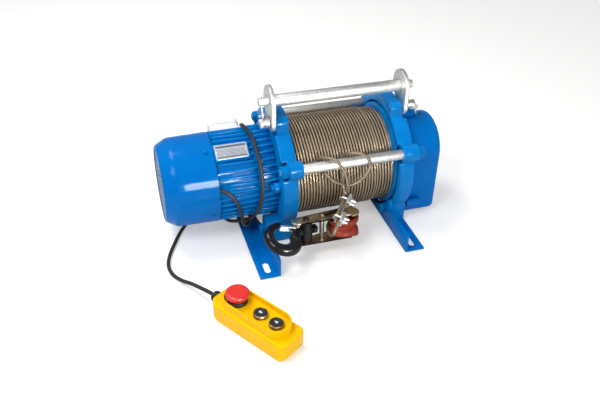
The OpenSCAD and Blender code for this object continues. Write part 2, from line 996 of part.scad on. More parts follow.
module gear_cover() {
    color([0.04, 0.42, 0.8])
        on_axis()
            difference() {
                union() {
                    slab_x(cover_left_x, cover_right_x - cover_edge)
                        cover_shape(0);
                    slab_x(cover_right_x - cover_edge - eps, cover_right_x - 7)
                        cover_shape(1.2);
                    slab_x(cover_right_x - 7 - eps, cover_right_x - 3.5)
                        cover_shape(3.6);
                    slab_x(cover_right_x - 3.5 - eps, cover_right_x)
                        cover_shape(8);
                    cover_bolt_spots()
                        bar_x(cover_left_x, cover_left_x + 22, 8);
                }
                difference() {
                    slab_x(cover_left_x - 1, wall_in)
                        cover_shape(cover_wall + 4);
                    at_yz(lay_y, lay_z)
                        bar_x(wall_in - 10, wall_in + 1, 21);
                    bar_x(wall_in - 10, wall_in + 1, 21);
                }
                slab_x(cover_left_x - 1, cover_right_x - 20)
                    cover_shape(cover_wall);
                at_yz(lay_y, lay_z)
                    bar_x(wall_in - 11, wall_in - 2, lay_bearing_r + seat_gap);
                bar_x(wall_in - 11, wall_in - 2, end_bearing_r + seat_gap);
                cover_bolt_spots()
                    bar_x(cover_left_x - 1, cover_left_x + 23, 3 + bolt_gap);
                translate([207, breather_y, cover_arc_z + 50])
                    cylinder(h = 30, r = 4 + seat_gap);
            }
}

module cover_bolts() {
    color([0.7, 0.71, 0.72])
        on_axis() {
            cover_bolt_spots() {
                bar_x(cover_left_x + 22, cover_left_x + 27, 5);
                bar_x(cover_left_x - 5, cover_left_x + 23, 3);
            }
            for (a = case_screw_angles)
                at_angle(case_screw_r, a) {
                    bar_x(cover_left_x, cover_left_x + 5, 5);
                    bar_x(frame_right_x - 8, cover_left_x + 1, 3);
                }
        }
}

module breather_plug() {
    top_z = cover_arc_z + cover_arc_r;
    color([0.88, 0.88, 0.86])
        on_axis()
            translate([207, breather_y, top_z]) {
                translate([0, 0, -7])
                    cylinder(h = 8, r = 4);
                cylinder(h = 12, r = 4.3);
                translate([0, 0, 12])
                    cylinder(h = 5.5, r = 7.5);
            }
}

module ring_bearing(x0, x1, outer, inner) {
    pipe_x(x0, x1, outer, inner + run_gap);
}

module bearings() {
    color([0.6, 0.61, 0.63])
        on_axis() {
            ring_bearing(housing_left_x - 12, housing_left_x, 26, shaft_r);
            ring_bearing(frame_left_x - web_t, frame_left_x - 1, 26, shaft_r);
            ring_bearing(frame_right_x - web_t, frame_right_x, quill_bearing_r, quill_r);
            pipe_x(-68, -52, drum_bearing_r - run_gap, spigot_r + seat_gap);
            ring_bearing(wall_in - 10, wall_in - 2, end_bearing_r, shaft_end_r);
            at_yz(lay_y, lay_z) {
                ring_bearing(frame_right_x + 2, cover_left_x, lay_bearing_r, lay_shaft_r);
                ring_bearing(wall_in - 10, wall_in - 2, lay_bearing_r, lay_shaft_r);
            }
        }
}

// gears

function gear_points(teeth, m) = [
    for (i = [0 : teeth - 1])
        for (q = [[-0.3, m * teeth / 2 - 1.25 * m], [-0.13, m * teeth / 2 + m],
            [0.13, m * teeth / 2 + m], [0.3, m * teeth / 2 - 1.25 * m]])
            [q[1] * cos(360 * (i + q[0]) / teeth), q[1] * sin(360 * (i + q[0]) / teeth)]
];

module spur(x0, x1, teeth, turn) {
    rotate([turn, 0, 0])
        slab_x(x0, x1)
            polygon(gear_points(teeth, gear_module));
}

module drum_gear() {
    color([0.5, 0.51, 0.53])
        on_axis()
            difference() {
                spur(184, 198, big_teeth, lay_angle + 180 / big_teeth);
                bar_x(180, 200, quill_r + seat_gap);
            }
}

module intermediate_gear() {
    color([0.5, 0.51, 0.53])
        on_axis()
            at_yz(lay_y, lay_z) {
                bar_x(frame_right_x + 3, wall_in - 3, lay_shaft_r - 2);
                bar_x(frame_right_x + 3, cover_left_x + 1, lay_shaft_r);
                bar_x(wall_in - 12, wall_in - 3, lay_shaft_r);
                spur(181, 201, small_teeth, lay_angle + 180);
                spur(209, 221, big_teeth, lay_angle + 180 + 180 / big_teeth);
            }
}

// drum and rope

module drum() {
    color([0.12, 0.14, 0.18])
        on_axis() {
            difference() {
                union() {
                    bar_x(rope_left_x - 1, rope_right_x + 1, barrel_r);
                    bar_x(rope_left_x - flange_t, rope_left_x, flange_r);
                    bar_x(rope_right_x, rope_right_x + flange_t, flange_r);
                }
                bar_x(-48, rope_right_x - 4, barrel_r - 6);
                bar_x(rope_left_x - flange_t - 1, -47, drum_bearing_r);
                bar_x(rope_right_x - 5, rope_right_x + flange_t + 1, quill_bore);
            }
            pipe_x(rope_right_x + 1, quill_end_x, quill_r, quill_bore);
        }
}

module rope_core() {
    color([0.3, 0.27, 0.22])
        on_axis()
            pipe_x(rope_left_x + seat_gap, rope_right_x - seat_gap, core_r, barrel_r + seat_gap);
}

module rope_winding() {
    steps = loop_rings;
    total = rope_loops * steps;
    loops = [
        for (i = [0 : total])
            [turn_x0 + (turn_x1 - turn_x0) * i / total,
                turn_r * cos(360 * i / steps - 90), turn_r * sin(360 * i / steps - 90)]
    ];
    path = concat([loops[0] - [0, rope_d, 0]], loops, [loops[total] + [0, rope_d, 0]]);
    gaps = [
        for (i = [0 : 7 : total - steps])
            for (j = [steps - 2 : steps + 2])
                if (i + j <= total) norm(loops[i + j] - loops[i]) - rope_d
    ];
    echo(least_gap_between_turns_mm = min(gaps));
    color([0.45, 0.4, 0.32])
        on_axis()
            tube(path, [for (q = path) rope_d / 2], [1, 0, 0], 6);
}

// rotor

module rotor_shaft() {
    color([0.66, 0.67, 0.69])
        on_axis() {
            bar_x(-300, 203, shaft_r);
            bar_x(202, wall_in - 3, 6);
            bar_x(wall_in - 12, wall_in - 3, shaft_end_r);
            spur(206, 223.5, small_teeth, lay_angle);
        }
}

module rotor_core() {
    color([0.5, 0.5, 0.52])
        on_axis()
            pipe_x(-208, -150, 50 - side_gap, shaft_r + seat_gap);
}

module cooling_fan() {
    color([0.15, 0.15, 0.16])
        on_axis()
            difference() {
                union() {
                    bar_x(-296, -252, 20);
                    bar_x(-255, -252, 68);
                    for (k = [0 : 7])
                        rotate([45 * k, 0, 0])
                            translate([-286, -1.5, 10])
                                cube([33, 3, 58]);
                }
                bar_x(-297, -251, shaft_r + seat_gap);
            }
}

// rope guard

module guard_plate_shape() {
    lobe(bar_y, bar_z, guard_top_r, pivot_y, pivot_z, guard_low_r);
}

module guard_plates() {
    color([0.8, 0.8, 0.79])
        on_axis()
            on_both_sides()
                difference() {
                    slab_x(guard_out, guard_in)
                        guard_plate_shape();
                    at_yz(pivot_y, pivot_z)
                        bar_x(guard_out - 1, guard_in + 1, pivot_r + run_gap);
                    at_yz(bar_y, bar_z)
                        bar_x(guard_out - 1, guard_in + 1, stub_r + seat_gap);
                    at_yz(bar_y - 6, bar_z + 21)
                        bar_x(guard_out - 1, guard_in + 1, 2);
                }
}

module guard_bar() {
    color([0.84, 0.85, 0.86])
        on_axis()
            at_yz(bar_y, bar_z)
                difference() {
                    union() {
                        bar_x(guard_in, 2 * guard_mid - guard_in, bar_r);
                        bar_x(guard_out - stub_len, 2 * guard_mid - guard_out + stub_len, stub_r);
                    }
                    on_both_sides()
                        translate([guard_out - stub_len + 5, 0, -stub_r - 2])
                            cylinder(h = 2 * stub_r + 4, r = 2);
                }
}

module guard_pivots() {
    color([0.75, 0.76, 0.77])
        on_axis()
            on_both_sides() {
                at_yz(pivot_y, pivot_z) {
                    bar_x(guard_out - bushing_len - nut_side, frame_in_left - 2, pivot_r);
                    hex_x(guard_out - bushing_len - nut_side, guard_out - bushing_len, 17);
                    bar_x(guard_out - bushing_len - 0.1, guard_out - side_gap, bushing_r);
                    bar_x(guard_in + side_gap, frame_in_left - lug_t, bushing_r);
                }
                at_yz(post_y, post_z)
                    bar_x(guard_out - bushing_len, frame_in_left - lug_t + 8, post_r);
            }
}

module guard_spring() {
    coil_r = bushing_r + spring_wire + 0.65;
    side_r = stub_r + spring_wire + 0.3;
    hook_turn = 22;
    end_turn = -1004;
    first_x = guard_out - 10.2;
    hook_points = [
        for (a = [128 : -30 : -hook_turn])
            [first_x, bar_y - pivot_y + side_r * cos(a), bar_z - pivot_z + side_r * sin(a)]
    ];
    coil_points = [
        for (i = [0 : spring_rings])
            let (a = -hook_turn + (end_turn + hook_turn) * i / spring_rings)
                [first_x + (spring_pitch * (end_turn + hook_turn) / 360) * -i / spring_rings,
                    coil_r * cos(a), coil_r * sin(a)]
    ];
    last = coil_points[spring_rings];
    leg_points = [
        for (t = [12, 24, 37])
            last + t * [0, sin(end_turn), -cos(end_turn)]
    ];
    path = concat(hook_points, coil_points, leg_points);
    at_yz(pivot_y, pivot_z)
        tube(path, [for (q = path) spring_wire], [1, 0, 0], 6);
}

module guard_springs() {
    color([0.7, 0.71, 0.72])
        on_axis()
            on_both_sides()
                guard_spring();
}

// hook block

module cheek(z0, z1) {
    on_block()
        difference() {
            translate([0, 0, z0])
                linear_extrude(z1 - z0)
                    lobe(cheek_round_x, 0, cheek_w, -block_len - cheek_nose_x, 0, cheek_nose_r);
            translate([0, 0, z0 - 1])
                cylinder(h = cheek_t + 2, r = sheave_pin_r + seat_gap);
            translate([-spacer_at, 0, z0 - 1])
                cylinder(h = cheek_t + 2, r = spacer_bolt_r + seat_gap);
            translate([-block_len, 0, z0 - 1])
                cylinder(h = cheek_t + 2, r = trunnion_r + run_gap);
        }
}

module upper_cheek() {
    color([0.72, 0.68, 0.42])
        cheek(cheek_out - cheek_t, cheek_out);
}

module lower_cheek() {
    color([0.72, 0.68, 0.42])
        cheek(-cheek_out, cheek_t - cheek_out);
}

module spacer_bolt() {
    inner = cheek_out - cheek_t;
    color([0.5, 0.47, 0.45])
        on_block()
            translate([-spacer_at, 0, 0]) {
                translate([0, 0, -inner])
                    cylinder(h = 2 * inner, r = spacer_r);
                translate([0, 0, -cheek_out - 6])
                    cylinder(h = 2 * cheek_out + 12, r = spacer_bolt_r);
                for (s = [-1, 1])
                    translate([0, 0, s * (cheek_out + 2.5) - 2.5])
                        cylinder(h = 5, r = 5.8, $fn = 6);
            }
}

module sheave_pin() {
    color([0.5, 0.48, 0.42])
        on_block() {
            translate([0, 0, -cheek_out - 1])
                cylinder(h = 2 * cheek_out + 2, r = sheave_pin_r);
            for (s = [-1, 1])
                translate([0, 0, s * (cheek_out + 2) - 2])
                    cylinder(h = 4, r = 9);
        }
}

module sheave() {
    half = cheek_out - cheek_t - rim_flare;
    hub_half = cheek_out - cheek_t - 0.5;
    color([0.75, 0.13, 0.08])
        on_block()
            difference() {
                union() {
                    translate([0, 0, -half])
                        cylinder(h = 2 * half, r = sheave_r);
                    translate([0, 0, -hub_half])
                        cylinder(h = 2 * hub_half, r = 13);
                }
                rotate_extrude($fn = 96)
                    translate([sheave_r - 4, 0]) {
                        circle(r = rope_d / 2 + 0.6);
                        polygon([[0, -3.6], [6, -9], [6, 9], [0, 3.6]]);
                    }
                translate([0, 0, -hub_half - 1])
                    cylinder(h = 2 * hub_half + 2, r = sheave_pin_r + run_gap);
            }
}

module at_crosshead() {
    on_block()
        translate([-block_len, 0, 0])
            rotate([0, 0, crosshead_yaw])
                children();
}

module crosshead() {
    inner = cheek_out - cheek_t - side_gap;
    color([0.12, 0.11, 0.1])
        at_crosshead()
            difference() {
                union() {
                    translate([0, 0, -inner])
                        cylinder(h = 2 * inner, r = cross_r);
                    translate([0, 0, -cheek_out - 3])
                        cylinder(h = 2 * cheek_out + 6, r = trunnion_r);
                }
                bar_x(-cross_r - 1, cross_r + 1, shank_r + run_gap);
            }
}

module at_hook() {
    at_crosshead()
        rotate([hook_roll, 0, 0])
            children();
}

// hook centre line in its own plane, with the radius of the forging at each point
hook_line = [
    [-14, 0, 0, 8.5], [-22, -1, 0, 9], [-29, -9, 0, 10.5], [-33, -20, 0, 12],
    [-45, -29, 0, 12.5], [-60, -28, 0, 11.5], [-74, -17, 0, 10.5], [-79, 0, 0, 10],
    [-74, 15, 0, 9], [-63, 24.5, 0, 7.5], [-52, 27, 0, 6], [-46, 28.5, 0, 5],
    [-43, 29.5, 0, 2.5]
];

module hook() {
    path = smooth_path(hook_line, 3);
    color([0.1, 0.1, 0.1])
        at_hook()
            difference() {
                union() {
                    tube(path, [for (q = path) q[3]], [0, 0, 1], 14);
                    bar_x(-15, cross_r + 12, shank_r);
                    bar_x(-16, -cross_r - side_gap, 9);
                    hex_x(cross_r + side_gap, cross_r + 9, 17);
                    translate([latch_x, latch_y, -4])
                        cylinder(h = 8, r = 4.5);
                }
                translate([latch_x, latch_y, -5])
                    cylinder(h = 10, r = latch_pin_r + seat_gap);
            }
}

module latch_pin() {
    color([0.75, 0.76, 0.77])
        at_hook()
            translate([latch_x, latch_y, 0]) {
                translate([0, 0, -8])
                    cylinder(h = 16, r = latch_pin_r);
                for (s = [-1, 1])
                    translate([0, 0, s * 7.6 - 0.8])
                        cylinder(h = 1.6, r = 3.4);
            }
}

module safety_latch() {
    color([0.8, 0.81, 0.82])
        at_hook()
            translate([latch_x, latch_y, 0])
                rotate([0, 0, latch_turn])
                    difference() {
                        union() {
                            for (z = [-6.3, 4.3])
                                translate([0, 0, z])
                                    linear_extrude(2) {
                                        circle(r = ear_r);
                                        translate([0, -2.5])
                                            square([latch_len, 5]);
                                    }
                            translate([9, -2.5, -6.3])
                                cube([latch_len - 9, 2, 12.6]);
                        }
                        translate([0, 0, -8])
                            cylinder(h = 16, r = latch_pin_r + run_gap);
                    }
}

// rope tail and its clips

module rope_clip(at) {
    color([0.82, 0.83, 0.82])
        translate(at)
            rotate(clip_turn) {
                translate([0, 0, -strand_gap])
                    rotate([90, 0, 90])
                        rotate_extrude(angle = 180, start = 180)
                            translate([clip_leg, 0])
                                circle(r = clip_wire, $fn = 24);
                for (s = [-1, 1])
                    translate([0, s * clip_leg, -strand_gap])
                        cylinder(h = clip_leg_len, r = clip_wire);
                difference() {
                    translate([-10, -11, strand_gap + 0.5])
                        cube([20, 22, 7]);
                    translate([-11, 0, strand_gap])
                        rotate([0, 90, 0])
                            cylinder(h = 22, r = rope_d / 2 + 0.8);
                    for (s = [-1, 1])
                        translate([0, s * clip_leg, strand_gap])
                            cylinder(h = 10, r = clip_wire + seat_gap);
                }
                for (s = [-1, 1])
                    translate([0, s * clip_leg, strand_gap + 7.5])
                        difference() {
                            cylinder(h = 4.5, r = 5, $fn = 6);
                            translate([0, 0, -1])
                                cylinder(h = 7, r = clip_wire + seat_gap);
                        }
            }
}

module rope_clips() {
    rope_clip(clip_high);
    rope_clip(clip_low);
}

function strand(at, along, side) = placed(at, clip_turn, [along, 0, side * strand_gap]);

// rope from its cut end under the lower clip, round the front rod, back through
// both clips, round the sheave and on to the underside of the drum
rope_tail_points = concat(
    [strand(clip_low, -14, -1), strand(clip_low, 0, -1), strand(clip_low, 14, -1)],
    [strand(clip_high, -12, -1), strand(clip_high, 0, -1), strand(clip_high, 12, -1)],
    [
        [21, -106, 119], [21, -100, 132], [20, -89, 147], [22, -81, 163], [28, -83, 180],
        [35, -95, 188], [49, -103, 191], [65, -108, 182], [71, -110, 164], [64, -110, 145],
        [49, -110, 132], [32, -110, 127], [15, -110, 132], [-3, -110, 143], [-15, -100, 153],
        [-24, -84, 160], [-25, -80, 174], [-17, -90, 184], [-1, -103, 186], [11, -112, 174],
        [20, -115, 155], [24, -118, 136], [27, -117, 121]
    ],
    [strand(clip_high, 12, 1), strand(clip_high, 0, 1), strand(clip_high, -12, 1)],
    [strand(clip_low, 14, 1), strand(clip_low, 0, 1), strand(clip_low, -12, 1)],
    [[-17, -175, 79], [-22, -177, 70], [-25, -170, 62], [-25, -158, 58], [-22, -145, 55.5]],
    [for (a = [172 : -27 : 91]) placed(block_at, [block_roll, block_pitch, block_yaw],
        [(sheave_r - 4 + (a > 170 ? 4 : 0)) * cos(a), (sheave_r - 4) * sin(a), 0])],
    [[30, -99, 45.5], [42, -92, 43], [53, -78, 36], [61, -61, 28], [67, -43, 19], [70, -25, 13],
        [72, 0, 12], [73, 22, 11.5]]
);

module rope_tail() {
    color([0.45, 0.4, 0.32])
        cord(rope_tail_points, 2, rope_d, [1, 0, 0], 8);
}

// cables

// points of the motor lead, measured from the drum axis
motor_lead_points = [
    [-126, 101, 20], [-119, 101, 20], [-112, 100.5, 21], [-110, 96, 31], [-117, 87, 43],
    [-126, 76.5, 55.5], [-134, 65.5, 68], [-139.8, 52, 76], [-141.5, 36, 84.8], [-141, 19, 90.2],
    [-139.5, 2, 92.2], [-137, -14.5, 91.7], [-135, -32.5, 89], [-135, -49, 82],
    [-134, -64, 71.5], [-133, -77, 57], [-133, -90, 34], [-134, -95, 12], [-137, -95, -12],
    [-143, -88, -38], [-151, -74, -60], [-161, -60, -74],
    [-176, -44, -86], [-188, -28, -94], [-193, -8, -98], [-184, 12, -98], [-166, 20, -97],
    [-148, 12, -98], [-139, -6, -99], [-141, -28, -96], [-150, -46, -90], [-163, -65, -80.5],
    [-170, -78, -62], [-175, -88, -37], [-182, -94, -10], [-190, -94, 6], [-199, -89, 16],
    [-208, -83, 18.5], [-215, -80, 19], [-221, -80, 19]
];

module motor_lead() {
    color([0.13, 0.12, 0.12])
        on_axis()
            cord(motor_lead_points, 2, cable_d, [0, 0, 1], 8);
}

module cable_tie() {
    color([0.08, 0.08, 0.08])
        on_axis()
            translate([-161.5, -62.5, -77.2])
                rotate([49, 0, 0])
                    difference() {
                        union() {
                            translate([0, 0, -2.4])
                                cylinder(h = 4.8, r = tie_hole_r + 1);
                            translate([8, -1, -2])
                                cube([14, 1.4, 4]);
                        }
                        translate([0, 0, -3])
                            cylinder(h = 6, r = tie_hole_r);
                    }
}

pendant_cable_points = [
    [control_gland_x, axis_y + box_back + box_d / 2, axis_h + box_low - 8],
    [control_gland_x, axis_y + box_back + box_d / 2, axis_h + box_low - 18],
    [-177, 110, 46], [-181, 106, 30], [-189, 98, 16], [-201, 87, 7], [-217, 72, 4],
    [-240, 48, 4], [-265, 22, 4], [-285, -6, 4], [-303, -41, 4], [-318, -75, 4],
    [-325, -105, 4], [-321, -132, 4], [-308, -155, 6], [-292, -178, 13],
    placed(pendant_at, [0, 0, pendant_turn], [-pendant_len / 2 - 38, 0, gland_z - 1]),
    placed(pendant_at, [0, 0, pendant_turn], [-pendant_len / 2 - 26, 0, gland_z]),
    placed(pendant_at, [0, 0, pendant_turn], [-pendant_len / 2 - 14, 0, gland_z])
];

module pendant_cable() {
    color([0.13, 0.12, 0.12])
        cord(pendant_cable_points, 2, cable_d, [1, 0, 0], 8);
}

// hand control

module on_pendant() {
    translate(pendant_at)
        rotate([0, 0, pendant_turn])
            children();
}

module pendant_plan(inset) {
    half_l = pendant_len / 2 - inset;
    half_w = pendant_w / 2 - inset;
    nose = 13;
    translate([nose, 0])
        round_rect(2 * half_l - 2 * nose, 2 * half_w, 12);
    polygon([
        [-half_l, -half_w + nose], [-half_l + nose, -half_w], [0, -half_w],
        [0, half_w], [-half_l + nose, half_w], [-half_l, half_w - nose]
    ]);
}

module pendant_base() {
    color([0.95, 0.75, 0.05])
        on_pendant()
            difference() {
                union() {
                    linear_extrude(3)
                        pendant_plan(2);
                    translate([0, 0, 2])
                        linear_extrude(shell_low_h - 2)
                            pendant_plan(0);
                }
                translate([0, 0, shell_wall])
                    linear_extrude(shell_low_h)
                        pendant_plan(shell_wall);
                translate([-pendant_len / 2 - 1, 0, gland_z])
                    rotate([0, 90, 0])
                        cylinder(h = 8, r = gland_neck_r + seat_gap);
            }
}

module pendant_cover() {
    deck_h = pendant_h - shell_low_h;
    color([0.98, 0.79, 0.05])
        on_pendant()
            difference() {
                union() {
                    translate([0, 0, shell_low_h])
                        linear_extrude(deck_h - 3)
                            pendant_plan(0);
                    translate([0, 0, pendant_h - 3 - eps])
                        linear_extrude(3)
                            pendant_plan(2);
                    translate([stop_x, 0, pendant_h - 1])
                        cylinder(h = stop_deck + 1, r = stop_r + 4);
                    translate([buttons_x, 0, pendant_h - 1])
                        linear_extrude(rim_h + 1)
                            round_rect(button_pitch + 2 * rim_r, 2 * rim_r, rim_r - eps);
                }
                translate([buttons_x, 0, pendant_h])
                    linear_extrude(rim_h + 1)
                        round_rect(button_pitch + 2 * rim_r - 5, 2 * rim_r - 5, rim_r - 2.6);
                translate([0, 0, shell_low_h - 1])
                    linear_extrude(deck_h - shell_wall + 1)
                        pendant_plan(shell_wall);
                translate([stop_x, 0, shell_low_h])
                    cylinder(h = pendant_h, r = stop_stem_r + bolt_gap);
                for (s = [-1, 1])
                    translate([buttons_x + s * button_pitch / 2, 0, shell_low_h])
                        cylinder(h = pendant_h, r = collar_neck_r + seat_gap);
                translate([-pendant_len / 2 - 1, 0, gland_z])
                    rotate([0, 90, 0])
                        cylinder(h = 8, r = gland_neck_r + seat_gap);
            }
}

module pendant_gland() {
    color([0.08, 0.08, 0.08])
        on_pendant()
            translate([-pendant_len / 2, 0, gland_z])
                difference() {
                    union() {
                        bar_x(-7, 0, 11);
                        bar_x(-15, -7 + eps, 9);
                        bar_x(-22, -15 + eps, 7);
                        bar_x(-1, 6, gland_neck_r);
                    }
                    bar_x(-23, 7, cable_d / 2 + seat_gap);
                }
}

module stop_button() {
    top = pendant_h + stop_deck + stop_travel + 1;
    color([0.8, 0.05, 0.05])
        on_pendant()
            translate([stop_x, 0, 0]) {
                translate([0, 0, pendant_h - 8])
                    cylinder(h = stop_deck + stop_travel + 10, r = stop_stem_r);
                translate([0, 0, top])
                    cylinder(h = 4, r = stop_r);
                translate([0, 0, top + 4 - eps])
                    cylinder(h = 2.5, r = stop_r - 1.5);
                translate([0, 0, top + 6.5 - 2 * eps])
                    cylinder(h = 2, r = stop_r - 5);
            }
}

module push_button(side) {
    color([0.1, 0.1, 0.11])
        on_pendant()
            translate([buttons_x + side * button_pitch / 2, 0, 0]) {
                translate([0, 0, pendant_h + 0.5])
                    cylinder(h = button_top - pendant_h - 0.5, r = button_r);
                translate([0, 0, contact_h + button_travel + 1])
                    cylinder(h = pendant_h - contact_h - button_travel, r = 6);
            }
}

module up_button() {
    push_button(-1);
}

module down_button() {
    push_button(1);
}

module button_collars() {
    color([0.72, 0.52, 0.3])
        on_pendant()
            for (s = [-1, 1])
                translate([buttons_x + s * button_pitch / 2, 0, 0])
                    difference() {
                        union() {
                            translate([0, 0, pendant_h])
                                cylinder(h = button_top - pendant_h - 2, r = collar_r);
                            translate([0, 0, pendant_h - 6])
                                cylinder(h = 7, r = collar_neck_r);
                        }
                        translate([0, 0, pendant_h - 7])
                            cylinder(h = 30, r = 6.6);
                        translate([0, 0, pendant_h - button_travel - 0.5])
                            cylinder(h = 30, r = button_r + run_gap + 0.1);
                    }
}

module contact_block() {
    color([0.2, 0.2, 0.21])
        on_pendant() {
            translate([buttons_x - 32, -16, shell_wall])
                cube([64, 32, contact_h - shell_wall]);
            translate([stop_x - 15, -16, shell_wall])
                cube([30, 32, contact_h + 2 - shell_wall]);
        }
}

// selection

left_foot();
right_foot();
foot_bolts();
left_end_frame();
right_end_frame();
front_tie_rod();
rear_tie_rods();
tie_rod_nuts();
motor_housing();
drive_end_bell();
rear_end_shield();
stator_core();
stator_windings();
fan_cowl();
cowl_grille();
case_screws();
bell_bolts();
terminal_box();
terminal_box_lid();
cable_glands();
nameplate();
gear_case();
gear_cover();
cover_bolts();
breather_plug();
bearings();
drum();
drum_gear();
rope_core();
rope_winding();
rotor_shaft();
rotor_core();
cooling_fan();
intermediate_gear();
guard_plates();
guard_bar();
guard_pivots();
guard_springs();
rope_tail();
rope_clips();
upper_cheek();
lower_cheek();
spacer_bolt();
sheave_pin();
sheave();
crosshead();
hook();
safety_latch();
latch_pin();
motor_lead();
pendant_cable();
cable_tie();
pendant_base();
pendant_cover();
pendant_gland();
stop_button();
up_button();
down_button();
button_collars();
contact_block();
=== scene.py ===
"""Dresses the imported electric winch: enamel, zinc, wire rope, cables and hand control.

Lengths in the sub-assembly classes are millimetres in the winch's own frame. The
origin is the middle of the six foot slots on the floor, +X runs along the drum to
the gearbox and +Z is up. Meshes are stored in metres.
"""

import logging
from dataclasses import dataclass, field
from enum import Enum
from math import cos, floor, pi, radians, sin, sqrt
from typing import Callable, Dict, List, Optional, Sequence, Tuple, Union

import bmesh
import bpy
from mathutils import Matrix, Vector


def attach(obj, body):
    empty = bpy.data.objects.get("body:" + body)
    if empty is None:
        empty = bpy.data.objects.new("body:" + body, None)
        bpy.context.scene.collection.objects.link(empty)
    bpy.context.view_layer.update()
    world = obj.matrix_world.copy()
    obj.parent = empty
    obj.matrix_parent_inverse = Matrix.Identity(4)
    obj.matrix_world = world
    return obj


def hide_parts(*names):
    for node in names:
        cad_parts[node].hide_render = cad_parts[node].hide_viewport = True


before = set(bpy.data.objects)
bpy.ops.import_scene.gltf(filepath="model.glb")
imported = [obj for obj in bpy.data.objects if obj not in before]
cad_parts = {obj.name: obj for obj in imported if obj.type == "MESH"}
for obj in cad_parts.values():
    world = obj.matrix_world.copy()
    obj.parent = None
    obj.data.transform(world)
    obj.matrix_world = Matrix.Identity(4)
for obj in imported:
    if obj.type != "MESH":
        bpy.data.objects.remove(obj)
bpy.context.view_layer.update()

LOG = logging.getLogger("winch")
MM = 0.001
Obj = bpy.types.Object
Point = Tuple[float, float, float]
Pair = Tuple[float, float]
Colour = Tuple[float, float, float]
Number = Union[float, "Field"]

WHITE: Colour = (1.0, 1.0, 1.0)
DUST: Colour = (0.62, 0.66, 0.70)
STAIN: Colour = (0.20, 0.15, 0.10)
OVERSPRAY: Colour = (0.0, 0.17, 0.52)
INK: Colour = (0.03, 0.05, 0.12)
# Strands of the rope, length of one twist and depth of the valleys as a share of the radius.
STRANDS, LAY, VALLEY = 6, 38.0, 0.16
# How far a corner may be from a height and still count as lying at it.
LEVEL = 0.1
# Distance of points that a copied CAD mesh merges, and the angle below which it is flat.
MERGE, FLAT = 0.02, 0.6


class Body(Enum):
    """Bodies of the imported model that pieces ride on."""

    FRAME = "winch_frame"
    DRUM = "drum"
    ROTOR = "rotor"
    GUARD = "rope_guard"
    SHEAVE = "block_sheave"
    CROSSHEAD = "hook_crosshead"
    HOOK = "load_hook"
    LATCH = "hook_latch"
    STOP = "stop_head"
    UP = "up_cap"
    DOWN = "down_cap"


def placed(at: Point = (0, 0, 0), turn: Point = (0, 0, 0)) -> Matrix:
    """Gives the matrix that turns about X, Y and Z by degrees, in that order, then moves."""
    turns = [Matrix.Rotation(radians(a), 4, axis) for a, axis in zip(turn, "XYZ")]
    return Matrix.Translation(Vector(at)) @ turns[2] @ turns[1] @ turns[0]


HERE = Matrix.Identity(4)
DRUM_AXIS = placed((0, 10, 114))
ALONG_X = DRUM_AXIS @ Matrix(((0, 0, 1, 0), (1, 0, 0, 0), (0, 1, 0, 0), (0, 0, 0, 1)))
BLOCK = placed((15, -127, 51), (-11, 3, 6))
CROSSHEAD = BLOCK @ placed((-78, 0, 0), (0, 0, 8))
HOOK_PLANE = CROSSHEAD @ placed((0, 0, 0), (31, 0, 0))
PENDANT = placed((-205, -315, 0), (0, 0, -57))


def _math(operation: str, swapped: bool = False) -> Callable[..., "Field"]:
    """Makes a method of Field that adds one Math node.

    Args:
        operation: The node's operation.
        swapped: Whether the other operand comes first, as in 1 - mask.

    Returns:
        The method.
    """

    def method(self: "Field", other: Number = 0.0) -> "Field":
        """Adds the node, with this number and the other as its operands."""
        a, b = (other, self) if swapped else (self, other)
        return self.nodes.node("Math", {0: a, 1: b}, operation=operation)

    return method


class Field:
    """A number that varies over a surface; arithmetic on it adds Math nodes."""

    def __init__(self, nodes: "Nodes", socket: bpy.types.NodeSocket) -> None:
        """Keeps the socket and the tree it belongs to."""
        self.nodes = nodes
        self.socket = socket

    __add__, __radd__ = _math("ADD"), _math("ADD", True)
    __sub__, __rsub__ = _math("SUBTRACT"), _math("SUBTRACT", True)
    __mul__, __rmul__ = _math("MULTIPLY"), _math("MULTIPLY", True)
    __gt__, __lt__ = _math("GREATER_THAN"), _math("LESS_THAN")
    __abs__, sine = _math("ABSOLUTE"), _math("SINE")
    remainder = _math("FLOORED_MODULO")

    def ramp(self, low: float, high: float) -> "Field":
        """Maps low..high to 0..1 with soft ends and clamps."""
        return self.nodes.node("MapRange", {"Value": self, "From Min": low, "From Max": high},
                               interpolation_type="SMOOTHSTEP", clamp=True)


